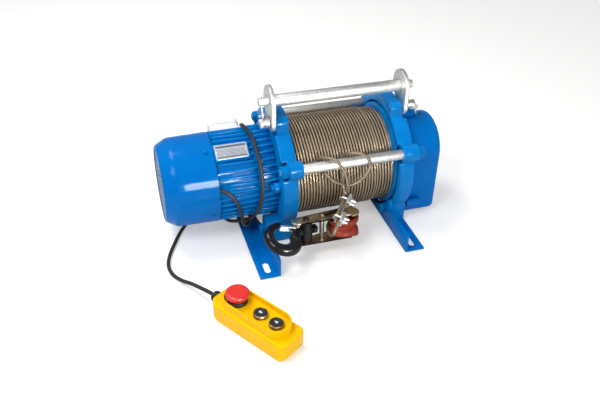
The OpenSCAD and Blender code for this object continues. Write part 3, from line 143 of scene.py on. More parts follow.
class Nodes:
    """The node tree of a material or world, under construction."""

    def __init__(self, owner: Union[bpy.types.Material, bpy.types.World]) -> None:
        """Starts with an empty tree.

        Args:
            owner: Material or world that the nodes belong to.
        """
        owner.use_nodes = True
        self.tree = owner.node_tree
        self.tree.nodes.clear()

    def put(self, socket: bpy.types.NodeSocket, value: Union[Number, Point]) -> None:
        """Fills a socket.

        Args:
            socket: The socket.
            value: A field, which is linked, or a number, a colour or a vector.
        """
        if isinstance(value, Field):
            self.tree.links.new(value.socket, socket)
        elif isinstance(value, tuple) and len(socket.default_value) == 4:
            socket.default_value = (*value, 1.0)
        else:
            socket.default_value = value

    def node(self, kind: str, inputs: Dict, output: Union[int, str] = 0,
             **settings: object) -> Field:
        """Adds a shader node.

        Args:
            kind: Type of the node.
            inputs: Values, colours or fields, by socket name or number.
            output: Which output to give back.
            settings: Its own settings, made before its sockets are filled.

        Returns:
            The chosen output.
        """
        made = self.tree.nodes.new("ShaderNode" + kind)
        for key, value in settings.items():
            setattr(made, key, value)
        for key, value in inputs.items():
            self.put(made.inputs[key], value)
        return Field(self, made.outputs[output])

    def ray(self, kind: str) -> Field:
        """Gives 1 on rays of one kind (Camera, Transmission, Glossy), else 0."""
        return self.node("LightPath", {}, f"Is {kind} Ray")

    def end(self, kind: str, shader: Field) -> None:
        """Adds the output node and gives it a shader."""
        self.put(self.tree.nodes.new("ShaderNodeOutput" + kind).inputs[0], shader)


class Surface(Nodes):
    """One Principled material under construction."""

    def __init__(self, name: str) -> None:
        """Starts a material with a Principled shader on its output.

        Args:
            name: Name of the material.
        """
        self.material = bpy.data.materials.new(name)
        super().__init__(self.material)
        shader = self.node("BsdfPrincipled", {})
        self.shader = shader.socket.node
        self.end("Material", shader)

    def place(self, source: str = "Object") -> Field:
        """Gives the coordinates of the surface point: Object or UV."""
        return self.node("TexCoord", {}, source)

    def stretched(self, scale: Point) -> Field:
        """Gives Object coordinates scaled along each axis."""
        return self.node("Mapping", {"Vector": self.place(), "Scale": scale})

    def split(self, vector: Field) -> List[Field]:
        """Splits a vector into its three numbers."""
        x = self.node("SeparateXYZ", {0: vector})
        return [Field(self, socket) for socket in x.socket.node.outputs]

    def noise(self, scale: float, detail: float = 3.0, rough: float = 0.55,
              at: Optional[Field] = None) -> Field:
        """Gives fractal noise between 0 and 1; scale is in cells per metre."""
        return self.node("TexNoise", {"Vector": at or self.place(), "Scale": scale,
                                      "Detail": detail, "Roughness": rough})

    def flakes(self, scale: float) -> Field:
        """Gives each Voronoi cell its own number."""
        cells = self.node("TexVoronoi", {"Vector": self.place(), "Scale": scale}, "Color")
        return self.split(cells)[0]

    def blend(self, share: Number, a: Union[Colour, Field], b: Union[Colour, Field]) -> Field:
        """Mixes two colours: share 0 gives a, share 1 gives b."""
        return self.node("Mix", {0: share, 6: a, 7: b}, 2, data_type="RGBA")

    def relief(self, height: Field, depth: float, strength: float = 1.0) -> None:
        """Feeds a height, whose full depth is in millimetres, to the shader's normal."""
        self.feed(Normal=self.node("Bump", {"Height": height, "Distance": depth * MM,
                                            "Strength": strength}))

    def feed(self, **values: Union[Number, Colour]) -> None:
        """Fills sockets of the shader, named with underscores for spaces."""
        for key, value in values.items():
            self.put(self.shader.inputs[key.replace("_", " ")], value)


@dataclass(frozen=True)
class Finish:
    """A named finish; each kind paints its own nodes."""

    name: str

    def make(self) -> bpy.types.Material:
        """Builds the material.

        Returns:
            The material, with all its nodes.
        """
        surface = Surface(self.name)
        self.paint(surface)
        return surface.material

    def paint(self, s: Surface) -> None:
        """Adds the nodes of this kind of finish."""
        raise NotImplementedError


@dataclass(frozen=True)
class Enamel(Finish):
    """Glossy enamel over sheet or over a sand casting."""

    colour: Colour
    deep: Colour
    grain: float = 0.03
    grain_scale: float = 900.0
    roughness: float = 0.3
    coat: float = 0.4
    dust: float = 0.05
    tint: Colour = WHITE

    def paint(self, s: Surface) -> None:
        """Varies the tone broadly, settles dust and gives the skin its grain.

        Args:
            s: The material under construction.
        """
        broad = s.noise(14.0, 3.0)
        fine = s.noise(self.grain_scale, 4.0, 0.6)
        pits = s.noise(self.grain_scale * 0.28, 2.0)
        paint = s.blend(broad.ramp(0.35, 0.7), self.colour, self.deep)
        settled = s.noise(60.0, 4.0).ramp(0.55, 0.8) * self.dust
        s.feed(Base_Color=s.blend(settled, paint, DUST),
               Roughness=self.roughness + fine * 0.12 + settled * 1.2,
               Coat_Weight=self.coat, Coat_Roughness=0.06, IOR=1.15,
               Specular_Tint=self.tint)
        s.relief(fine * 0.8 + pits * 0.7, self.grain)


@dataclass(frozen=True)
class Zinc(Finish):
    """Zinc on steel: bright plated, hot-dipped with spangles, or yellow chromate.

    Where painted is given, the piece is painted over outside that span of X, in metres.
    """

    light: Colour
    dark: Colour
    spangle: float = 0.0
    roughness: float = 0.28
    stain: float = 0.0
    painted: Optional[Pair] = None

    def paint(self, s: Surface) -> None:
        """Mixes grain and spangles, then stains and paint over them.

        Args:
            s: The material under construction.
        """
        grain = s.noise(260.0, 5.0, 0.65)
        flakes = s.flakes(150.0)
        tone = grain.ramp(0.3, 0.75) * (1.0 - self.spangle) + flakes * self.spangle
        metal = s.blend(tone, self.dark, self.light)
        spots = s.noise(38.0, 4.0, 0.7).ramp(0.56, 0.74) * self.stain
        metal = s.blend(spots, metal, STAIN)
        bare = 1.0 - spots * 0.5
        if self.painted:
            x = s.split(s.place())[0]
            paint = (x < self.painted[0]) + (x > self.painted[1])
            metal = s.blend(paint, metal, OVERSPRAY)
            bare = bare * (1.0 - paint)
        s.feed(Base_Color=metal, Metallic=bare,
               Roughness=self.roughness + grain * 0.16 + spots * 0.3 + flakes * self.spangle * 0.2)
        s.relief(grain + flakes * self.spangle, 0.05, 0.5)


@dataclass(frozen=True)
class WireRope(Finish):
    """Greased steel rope; UV u is metres along, v turns round.

    A packed rope gets painted shade on its flanks, where the next turn touches it.
    """

    lit: Colour = (0.46, 0.36, 0.25)
    shade: Colour = (0.030, 0.021, 0.014)
    shaded_flanks: bool = False

    def paint(self, s: Surface) -> None:
        """Draws strands and the wires in them, with painted highlight on their crowns, painted
        shade in the valleys between them, and grease over all.

        Args:
            s: The material under construction.
        """
        u, v, _ = s.split(s.place("UV"))
        turn = v * STRANDS + u * (STRANDS / (LAY * MM))
        crown = abs((turn * pi).sine())
        wires = abs((turn * (4.0 * pi) + u * 2200.0).sine())
        grease = s.noise(90.0, 4.0, 0.6)
        tone = crown.ramp(0.1, 0.75) * (0.55 + 0.45 * wires) * (0.55 + 0.6 * grease)
        # Painted shade on the flanks, where the next turn touches the rope.
        if self.shaded_flanks:
            flank = abs((v * (2.0 * pi) + pi / 2).sine())
            tone = tone * (1.0 - flank.ramp(0.32, 0.88))
        s.feed(Base_Color=s.blend(tone, self.shade, self.lit),
               Roughness=0.40 - 0.16 * tone, Metallic=0.5)
        s.relief(crown + wires * 0.22, 0.55, 0.85)


@dataclass(frozen=True)
class Moulding(Finish):
    """Moulded plastic or rubber with a fine spark-eroded grain."""

    colour: Colour
    roughness: float = 0.35
    grain: float = 0.04
    grain_scale: float = 1400.0
    speckle: float = 0.1
    coat: float = 0.0
    tint: Colour = WHITE

    def paint(self, s: Surface) -> None:
        """Varies the tone a little and gives the skin its grain.

        Args:
            s: The material under construction.
        """
        fine = s.noise(self.grain_scale, 3.0, 0.6)
        broad = s.noise(25.0, 3.0)
        darker = tuple(c * 0.82 for c in self.colour)
        s.feed(Base_Color=s.blend(broad * 0.5 + fine * self.speckle, self.colour, darker),
               Roughness=self.roughness + fine * 0.14, Coat_Weight=self.coat,
               Coat_Roughness=0.1, Specular_Tint=self.tint)
        s.relief(fine, self.grain)


@dataclass(frozen=True)
class Machined(Finish):
    """Bare or oiled metal with tool marks along one direction."""

    light: Colour
    dark: Colour
    marks: Point = (2400.0, 60.0, 60.0)

    def paint(self, s: Surface) -> None:
        """Draws tool marks under a film of oil.

        Args:
            s: The material under construction.
        """
        lines = s.noise(1.0, 4.0, 0.6, s.stretched(self.marks))
        film = s.noise(45.0, 4.0)
        tone = lines * 0.6 + film.ramp(0.3, 0.7) * 0.4
        s.feed(Base_Color=s.blend(tone, self.dark, self.light),
               Roughness=0.32 + lines * 0.15, Metallic=1.0)
        s.relief(lines, 0.03, 0.6)


@dataclass(frozen=True)
class RuledPlate(Finish):
    """Satin plate with a dark heading bar and ruled lines, on the piece's own UV."""

    light: Colour
    dark: Colour

    def paint(self, s: Surface) -> None:
        """Rules the plate: lines, an upright, heading, footing and border.

        Args:
            s: The material under construction.
        """
        u, v, _ = s.split(s.place("UV"))
        brushed = s.noise(1.0, 4.0, 0.6, s.stretched((60.0, 2600.0, 2600.0)))
        inside = (abs(u - 0.5) < 0.46) * (abs(v - 0.5) < 0.41)
        rule = (abs(v.remainder(0.085) - 0.042) < 0.014) * (v < 0.70)
        upright = (abs(u - 0.5) < 0.004) * (v < 0.70)
        heading = v > 0.76
        border = 1.0 - (abs(u - 0.5) < 0.485) * (abs(v - 0.5) < 0.46)
        footing = v < 0.17
        ink = ((rule + upright + heading + footing) * inside + border * 0.25).ramp(0.0, 1.0)
        s.feed(Base_Color=s.blend(ink * 0.85, s.blend(brushed, self.dark, self.light), INK),
               Roughness=0.34 + brushed * 0.12, Metallic=0.85 - ink * 0.6)


class Finishes:
    """All finishes of the winch, made once and shared, by name."""

    def __init__(self) -> None:
        """Builds every material."""
        deep, sky = (0.0, 0.178, 0.52), (0.02, 0.5, 1.0)
        made = [
            Enamel("blue_casting", (0.0, 0.212, 0.61), deep, grain=0.7, grain_scale=420.0,
                   roughness=0.24, coat=0.26, dust=0.0, tint=sky),
            Enamel("blue_sheet", (0.0, 0.158, 0.53), (0.0, 0.146, 0.50), grain=0.02,
                   roughness=0.24, coat=0.16, dust=0.0, tint=sky),
            Enamel("blue_fasteners", (0.002, 0.17, 0.50), deep, grain=0.05, coat=0.12,
                   dust=0.02, tint=sky),
            Enamel("red_paint", (0.40, 0.052, 0.028), (0.26, 0.032, 0.020), roughness=0.36,
                   coat=0.16),
            Enamel("black_forging", (0.011, 0.011, 0.012), (0.006, 0.006, 0.007), grain=0.5,
                   grain_scale=420.0, coat=0.45, dust=0.02),
            Zinc("zinc_plate", (0.86, 0.87, 0.88), (0.60, 0.61, 0.62), roughness=0.30),
            Zinc("guard_wire", (0.42, 0.48, 0.56), (0.22, 0.29, 0.40), roughness=0.34),
            Zinc("galvanised", (0.80, 0.81, 0.79), (0.56, 0.57, 0.55), spangle=0.16,
                 roughness=0.42, stain=0.08),
            Zinc("rod_steel", (0.72, 0.725, 0.69), (0.48, 0.485, 0.45), spangle=0.16,
                 roughness=0.42, stain=0.10, painted=(-0.0885, 0.1735)),
            Zinc("yellow_zinc", (0.70, 0.60, 0.40), (0.42, 0.35, 0.22), stain=0.35),
            Zinc("dark_steel", (0.30, 0.27, 0.25), (0.13, 0.11, 0.10), roughness=0.38, stain=0.6),
            WireRope("wire_rope"),
            WireRope("wire_rope_packed", lit=(1.0, 0.76, 0.50), shaded_flanks=True),
            Moulding("white_plastic", (0.93, 0.93, 0.92), roughness=0.36),
            Moulding("black_plastic", (0.012, 0.012, 0.013), roughness=0.38, speckle=0.3),
            Moulding("cable_jacket", (0.020, 0.018, 0.017), roughness=0.5, grain=0.03,
                     grain_scale=2200.0, speckle=0.4),
            Moulding("yellow_plastic", (1.0, 0.565, 0.0), roughness=0.36, grain=0.03,
                     tint=(1.0, 0.70, 0.04)),
            Moulding("red_plastic", (0.78, 0.022, 0.016), roughness=0.28, grain=0.015, coat=0.25),
            Moulding("arrow_white", (0.78, 0.78, 0.78), roughness=0.4),
            Machined("machined_steel", (0.55, 0.56, 0.58), (0.34, 0.35, 0.37)),
            Machined("copper", (0.62, 0.26, 0.11), (0.38, 0.15, 0.06), (60.0, 900.0, 900.0)),
            Machined("bronze_ring", (0.52, 0.33, 0.17), (0.33, 0.20, 0.10), (200.0, 200.0, 900.0)),
            RuledPlate("plate_aluminium", (0.84, 0.87, 0.92), (0.62, 0.66, 0.72)),
        ]
        self.materials: Dict[str, bpy.types.Material] = {m.name: m.make() for m in made}

    def dress(self, obj: Obj, name: str) -> None:
        """Gives a piece one finish all over.

        Args:
            obj: The piece.
            name: Name of the finish.
        """
        obj.data.materials.clear()
        obj.data.materials.append(self.materials[name])
        for face in obj.data.polygons:
            face.material_index = 0


def linked(name: str, data: bpy.types.ID) -> Obj:
    """Puts a new object in the scene.

    Args:
        name: Name of the object.
        data: Its camera, lamp or mesh.

    Returns:
        The object.
    """
    obj = bpy.data.objects.new(name, data)
    bpy.context.scene.collection.objects.link(obj)
    return obj


def set_mode(mode: str) -> None:
    """Goes to edit mode (EDIT) or back (OBJECT)."""
    bpy.ops.object.mode_set(mode=mode)


def arc(cx: float, cy: float, r: float, a0: float, a1: float, steps: int) -> List[Pair]:
    """Gives points on an arc, both ends included, angles in degrees."""
    angles = [radians(a0 + (a1 - a0) * i / steps) for i in range(steps + 1)]
    return [(cx + r * cos(a), cy + r * sin(a)) for a in angles]


def smooth_line(points: Sequence[Sequence[float]], parts: int) -> List[List[float]]:
    """Passes one smooth curve through points.

    Args:
        points: Points with three values each, or four where the last is a radius.
        parts: Number of stretches from each point to the next.

    Returns:
        The points of the curve, each with as many values.
    """
    last = len(points) - 1
    line: List[List[float]] = []
    for i in range(last):
        quad = [points[max(i - 1, 0)], points[i], points[i + 1], points[min(i + 2, last)]]
        for j in range(parts):
            t = j / parts
            line.append([0.5 * (2 * b + (c - a) * t + (2 * a - 5 * b + 4 * c - d) * t * t
                                + (3 * b - a - 3 * c + d) * t * t * t)
                         for a, b, c, d in zip(*quad)])
    line.append(list(points[last]))
    return line


def clamped(x: float) -> float:
    """Keeps a number between 0 and 1."""
    return min(1.0, max(0.0, x))


@dataclass
class Assembly:
    """A sub-assembly, with the modelling moves they all share, each as done by hand."""

    finishes: Finishes
    made: List[Obj] = field(default_factory=list)

    def build(self) -> None:
        """Makes the pieces of this sub-assembly."""
        raise NotImplementedError

    def clear(self) -> None:
        """Leaves edit mode and deselects everything."""
        if bpy.context.object and bpy.context.object.mode != "OBJECT":
            set_mode("OBJECT")
        bpy.ops.object.select_all(action="DESELECT")

    def pick(self, *objs: Obj) -> Obj:
        """Selects these objects alone.

        Args:
            objs: Objects to select.

        Returns:
            The first object, which is the active one.
        """
        self.clear()
        for obj in objs:
            obj.select_set(True)
        bpy.context.view_layer.objects.active = objs[0]
        return objs[0]

    def edit(self, obj: Obj, mode: str = "VERT", only: Optional[Callable] = None) -> None:
        """Opens edit mode on a piece, with parts of it selected.

        Args:
            obj: The piece.
            mode: What is selected: VERT, EDGE or FACE.
            only: Test for an edge or a face; without it, all of them are selected.
        """
        self.pick(obj)
        set_mode("EDIT")
        bpy.ops.mesh.select_mode(type=mode)
        bpy.ops.mesh.select_all(action="DESELECT" if only else "SELECT")
        if only:
            set_mode("OBJECT")
            for part in obj.data.edges if mode == "EDGE" else obj.data.polygons:
                part.select = only(part)
            set_mode("EDIT")

    def edit_level(self, obj: Obj, mode: str, z: float) -> None:
        """Opens edit mode with only the edges or faces at one height selected."""
        self.edit(obj, mode, lambda part: all(
            abs(obj.data.vertices[v].co.z - z) < LEVEL for v in part.vertices))

    def tidy(self, obj: Obj, angle: float = 34.0) -> Obj:
        """Turns faces outwards and shades by angle.

        Args:
            obj: The piece.
            angle: Angle in degrees above which an edge looks sharp.

        Returns:
            The same piece.
        """
        self.edit(obj)
        bpy.ops.mesh.normals_make_consistent(inside=False)
        set_mode("OBJECT")
        bpy.ops.object.shade_smooth_by_angle(angle=radians(angle))
        return obj

    def settle(self, obj: Obj, where: Matrix) -> Obj:
        """Moves a piece modelled in millimetres to its place, in metres, in its mesh.

        Args:
            obj: The piece.
            where: Its place, in millimetres.

        Returns:
            The same piece.
        """
        self.pick(obj)
        obj.matrix_world = Matrix.Scale(MM, 4) @ where @ obj.matrix_world
        bpy.ops.object.transform_apply(location=True, rotation=True, scale=True)
        return obj

    def shift(self, obj: Obj, where: Matrix) -> Obj:
        """Moves a piece within its drawing and leaves it in millimetres."""
        return self.settle(obj, Matrix.Scale(1.0 / MM, 4) @ where)

    def modify(self, obj: Obj, kind: str, **settings: object) -> Obj:
        """Adds one modifier, sets it and applies it.

        Args:
            obj: The piece.
            kind: Type of the modifier.
            settings: Its settings.

        Returns:
            The same piece.
        """
        self.pick(obj)
        made = obj.modifiers.new(kind.lower(), kind)
        for key, value in settings.items():
            setattr(made, key, value)
        bpy.ops.object.modifier_apply(modifier=made.name)
        return obj

    def bevel(self, obj: Obj, width: float, segments: int = 2, angle: float = 32.0) -> Obj:
        """Rounds every edge sharper than an angle.

        Args:
            obj: The piece.
            width: Width of the rounding, in the mesh's own unit.
            segments: Number of faces across the rounding.
            angle: The angle, in degrees.

        Returns:
            The same piece.
        """
        return self.modify(obj, "BEVEL", width=width, segments=segments, limit_method="ANGLE",
                           angle_limit=radians(angle), use_clamp_overlap=False,
                           miter_outer="MITER_ARC", profile=0.5)

    def round_level(self, obj: Obj, z: float, radius: float, segments: int) -> None:
        """Rounds the edges of a piece that lie at one height."""
        self.edit_level(obj, "EDGE", z)
        bpy.ops.mesh.bevel(offset=radius, segments=segments, profile=0.5, clamp_overlap=False)

    def join(self, *objs: Obj) -> Obj:
        """Makes one piece of several.

        Args:
            objs: The pieces.

        Returns:
            The first of them, which now holds them all.
        """
        self.pick(*objs)
        bpy.ops.object.join()
        return objs[0]

    def turned(self, profile: Sequence[Pair], sides: int = 64, ring: bool = False) -> Obj:
        """Turns a profile about Z, as on a lathe: a circle is extruded and scaled.

        Args:
            profile: Radius and height of each step, in millimetres.
            sides: Points round the circle.
            ring: Whether the last step closes on the first, as in a bushing.

        Returns:
            The turned piece, in millimetres.
        """
        self.clear()
        r, z = profile[0]
        bpy.ops.mesh.primitive_circle_add(vertices=sides, radius=r, location=(0, 0, z),
                                          fill_type="NOTHING" if ring else "NGON")
        obj = bpy.context.object
        bpy.ops.object.transform_apply(location=True)
        self.edit(obj, "EDGE")
        for r1, z1 in profile[1:]:
            bpy.ops.mesh.extrude_edges_move(TRANSFORM_OT_translate={"value": (0, 0, z1 - z)})
            bpy.ops.transform.resize(value=(r1 / r, r1 / r, 1), center_override=(0, 0, z1))
            r, z = r1, z1
        if ring:
            bpy.ops.mesh.select_all(action="DESELECT")
            bpy.ops.mesh.select_non_manifold()
            bpy.ops.mesh.bridge_edge_loops()
        else:
            bpy.ops.mesh.edge_face_add()
        return self.tidy(obj)

    def plate(self, outline: Sequence[Pair], low: float, high: float) -> Obj:
        """Cuts a plate: a flat disc is drawn out to the outline and extruded.

        Args:
            outline: Its corners, in order round it, in millimetres.
            low: Height of its underside.
            high: Height of its top.

        Returns:
            The plate, in millimetres.
        """
        self.clear()
        bpy.ops.mesh.primitive_circle_add(vertices=len(outline), fill_type="NGON")
        obj = bpy.context.object
        for vertex, (x, y) in zip(obj.data.vertices, outline):
            vertex.co = (x, y, low)
        self.edit(obj, "FACE")
        bpy.ops.mesh.extrude_region_move(TRANSFORM_OT_translate={"value": (0, 0, high - low)})
        return self.tidy(obj)

    def copied(self, node: str) -> Obj:
        """Copies a CAD node's mesh as the start of a piece, with its doubles merged.

        Args:
            node: Name of the CAD node.

        Returns:
            The copy, in metres.
        """
        source = self.pick(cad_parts[node])
        bpy.ops.object.duplicate()
        obj = bpy.context.object
        obj.parent = None
        for key in list(obj.keys()):
            del obj[key]
        source.select_set(False)
        self.edit(obj)
        bpy.ops.mesh.remove_doubles(threshold=MERGE * MM)
        bpy.ops.mesh.dissolve_limited(angle_limit=radians(FLAT))
        bpy.ops.mesh.normals_make_consistent(inside=False)
        set_mode("OBJECT")
        return obj

    def swept(self, points: Sequence[Sequence[float]], radius: Optional[float] = None,
              sides: int = 12, strands: int = 0, start: Optional[Vector] = None) -> Obj:
        """Draws a closed tube along points, with UV u in metres along and v in turns round.

        Args:
            points: Centre line, in millimetres.
            radius: Radius of the tube; without it, the fourth value of each point.
            sides: Points round the tube.
            strands: Number of twisted strands shown as lobes, 0 for a plain tube.
            start: Direction of the first point on the first ring.

        Returns:
            The tube, in millimetres.
        """
        line = [Vector(p[:3]) for p in points]
        mesh = bpy.data.meshes.new("tube")
        obj = linked("tube", mesh)
        bm = bmesh.new()
        uv = bm.loops.layers.uv.new("UVMap")
        rings, runs, run = [], [], 0.0
        last = len(line) - 1
        side = start
        for i, centre in enumerate(line):
            ahead = (line[min(i + 1, last)] - line[max(i - 1, 0)]).normalized()
            if side is None:
                side = ahead.orthogonal()
            side = (side - ahead * side.dot(ahead)).normalized()
            other = ahead.cross(side)
            run += (centre - line[i - 1]).length if i else 0.0
            runs.append(run * MM)
            rings.append([])
            for k in range(sides):
                a = 2 * pi * k / sides
                r = radius or points[i][3]
                if strands:
                    crown = abs(sin(pi * strands * (k / sides + run / LAY)))
                    r *= 1.0 - VALLEY * (1.0 - crown)
                rings[-1].append(bm.verts.new(centre + side * r * cos(a)
                                              + other * r * sin(a)))
        for i in range(last):
            for k in range(sides):
                n = (k + 1) % sides
                face = bm.faces.new((rings[i][k], rings[i][n], rings[i + 1][n], rings[i + 1][k]))
                for loop, (u, v) in zip(face.loops, ((runs[i], k), (runs[i], k + 1),
                                                     (runs[i + 1], k + 1), (runs[i + 1], k))):
                    loop[uv].uv = (u, v / sides)
                face.smooth = True
        bm.faces.new(list(reversed(rings[0])))
        bm.faces.new(rings[-1])
        bm.to_mesh(mesh)
        bm.free()
        return obj

    def place(self, obj: Obj, name: str, finish: str, *nodes: str, body: Body = Body.FRAME,
              at: Optional[Matrix] = None, slot: Optional[str] = None) -> None:
        """Names, dresses and hangs a finished piece on its body.

        Args:
            obj: The piece.
            name: Its name.
            finish: Its finish.
            nodes: CAD nodes that it stands for.
            body: The body that it rides on.
            at: Where it goes, if it is still a drawing in millimetres.
            slot: Not used.
        """
        if at is not None:
            self.settle(obj, at)
        obj.name = obj.data.name = name
        self.finishes.dress(obj, finish)
        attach(obj, body.value)
        if nodes:
            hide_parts(*nodes)
        self.made.append(obj)
        LOG.info("%s: %d faces, %s", name, len(obj.data.polygons), finish)

    def eased(self, finish: str, width: float, *nodes: str, segments: int = 2,
              body: Body = Body.FRAME, slot: Optional[str] = None) -> None:
        """Replaces CAD nodes by copies whose sharp edges are rounded.

        Args:
            finish: Finish of the copies.
            width: Width of the rounding, in millimetres.
            nodes: Names of the CAD nodes.
            segments: Number of faces across the rounding.
            body: The body that they ride on.
            slot: Material slot of the record, where it differs from the finish.
        """
        for node in nodes:
            obj = self.tidy(self.bevel(self.copied(node), width * MM, segments), 38.0)
            self.place(obj, node + "_piece", finish, node, body=body, slot=slot)


@dataclass
class Studio(Assembly):
    """Camera, lamps, white surroundings and floor."""

    eye: Point = (-400.95, -1141.44, 882.78)
    yaw: float = 17.89
    pitch: float = 35.46
    roll: float = 1.28
    lens: float = 42.207
    sensor: float = 36.0
    near: float = 0.01
    aim: Point = (0.0, -0.05, 0.08)
    surround: float = 0.43
    mirrored: float = 0.24
    paper: Colour = (0.78, 0.777, 0.768)
    paper_lift: float = 0.33
    paper_side: float = 16.0
    paper_down: float = -0.0006

    def camera(self) -> None:
        """Puts the camera at the photograph's viewpoint."""
        data = bpy.data.cameras.new("camera")
        data.lens, data.sensor_width, data.clip_start = self.lens, self.sensor, self.near
        where = (placed(self.eye, (90.0 - self.pitch, 0, -self.yaw))
                 @ placed(turn=(0, 0, self.roll)))
        where.translation *= MM
        obj = linked("camera", data)
        obj.matrix_world = where
        bpy.context.scene.camera = obj

    def lamp(self, name: str, at: Point, size: float, watts: float, sheen: bool = False) -> None:
        """Adds a square soft lamp that faces the winch.

        Args:
            name: Name of the lamp.
            at: Its place, in metres.
            size: Length of its side, in metres.
            watts: Its power.
            sheen: Whether glossy surfaces alone see it, as a streak of light.
        """
        data = bpy.data.lights.new(name, "AREA")
        data.size, data.energy = size, watts
        obj = linked(name, data)
        obj.visible_diffuse = not sheen
        ahead = Vector(self.aim) - Vector(at)
        obj.matrix_world = (Matrix.Translation(Vector(at))
                            @ ahead.to_track_quat("-Z", "Y").to_matrix().to_4x4())

    def surroundings(self) -> None:
        """Makes the world white to the camera, softer as a light, darker in reflections."""
        world = bpy.data.worlds.new("studio")
        bpy.context.scene.world = world
        n = Nodes(world)
        seen = n.node("Math", {0: n.ray("Camera"), 1: n.ray("Transmission")}, operation="MAXIMUM")
        shine = n.node("MapRange", {"Value": n.ray("Glossy"), "To Min": self.surround,
                                    "To Max": self.mirrored})
        level = n.node("MapRange", {"Value": seen, "To Min": shine, "To Max": 1.0})
        n.end("World", n.node("Background", {"Color": WHITE, "Strength": level}))

    def floor(self) -> None:
        """Lays a pale floor that takes the winch's shadow, lifted a little to the camera."""
        self.clear()
        bpy.ops.mesh.primitive_plane_add(size=1.0)
        obj = bpy.context.object
        obj.scale = (self.paper_side, self.paper_side, 1.0)
        obj.location = (0.0, 0.0, self.paper_down)
        bpy.ops.object.transform_apply(location=True, scale=True)
        obj.name = obj.data.name = "floor"
        material = bpy.data.materials.new("floor_paper")
        n = Nodes(material)
        paper = n.node("BsdfDiffuse", {"Color": self.paper})
        lift = n.node("Emission", {"Color": WHITE, "Strength": n.ray("Camera") * self.paper_lift})
        n.end("Material", n.node("AddShader", {0: paper, 1: lift}))
        obj.data.materials.append(material)

    def build(self) -> None:
        """Sets up the whole studio."""
        bpy.context.scene.view_settings.view_transform = "Standard"
        self.camera()
        self.surroundings()
        self.floor()
        self.lamp("window", (0.0, -2.1, 0.66), 0.62, 72.0, True)
        self.lamp("front", (0.5, -2.0, 0.8), 0.8, 14.0)
        self.lamp("key", (-1.25, -0.85, 1.75), 0.8, 20.0)
        self.lamp("top", (-0.7, 0.5, 1.9), 0.7, 18.0)


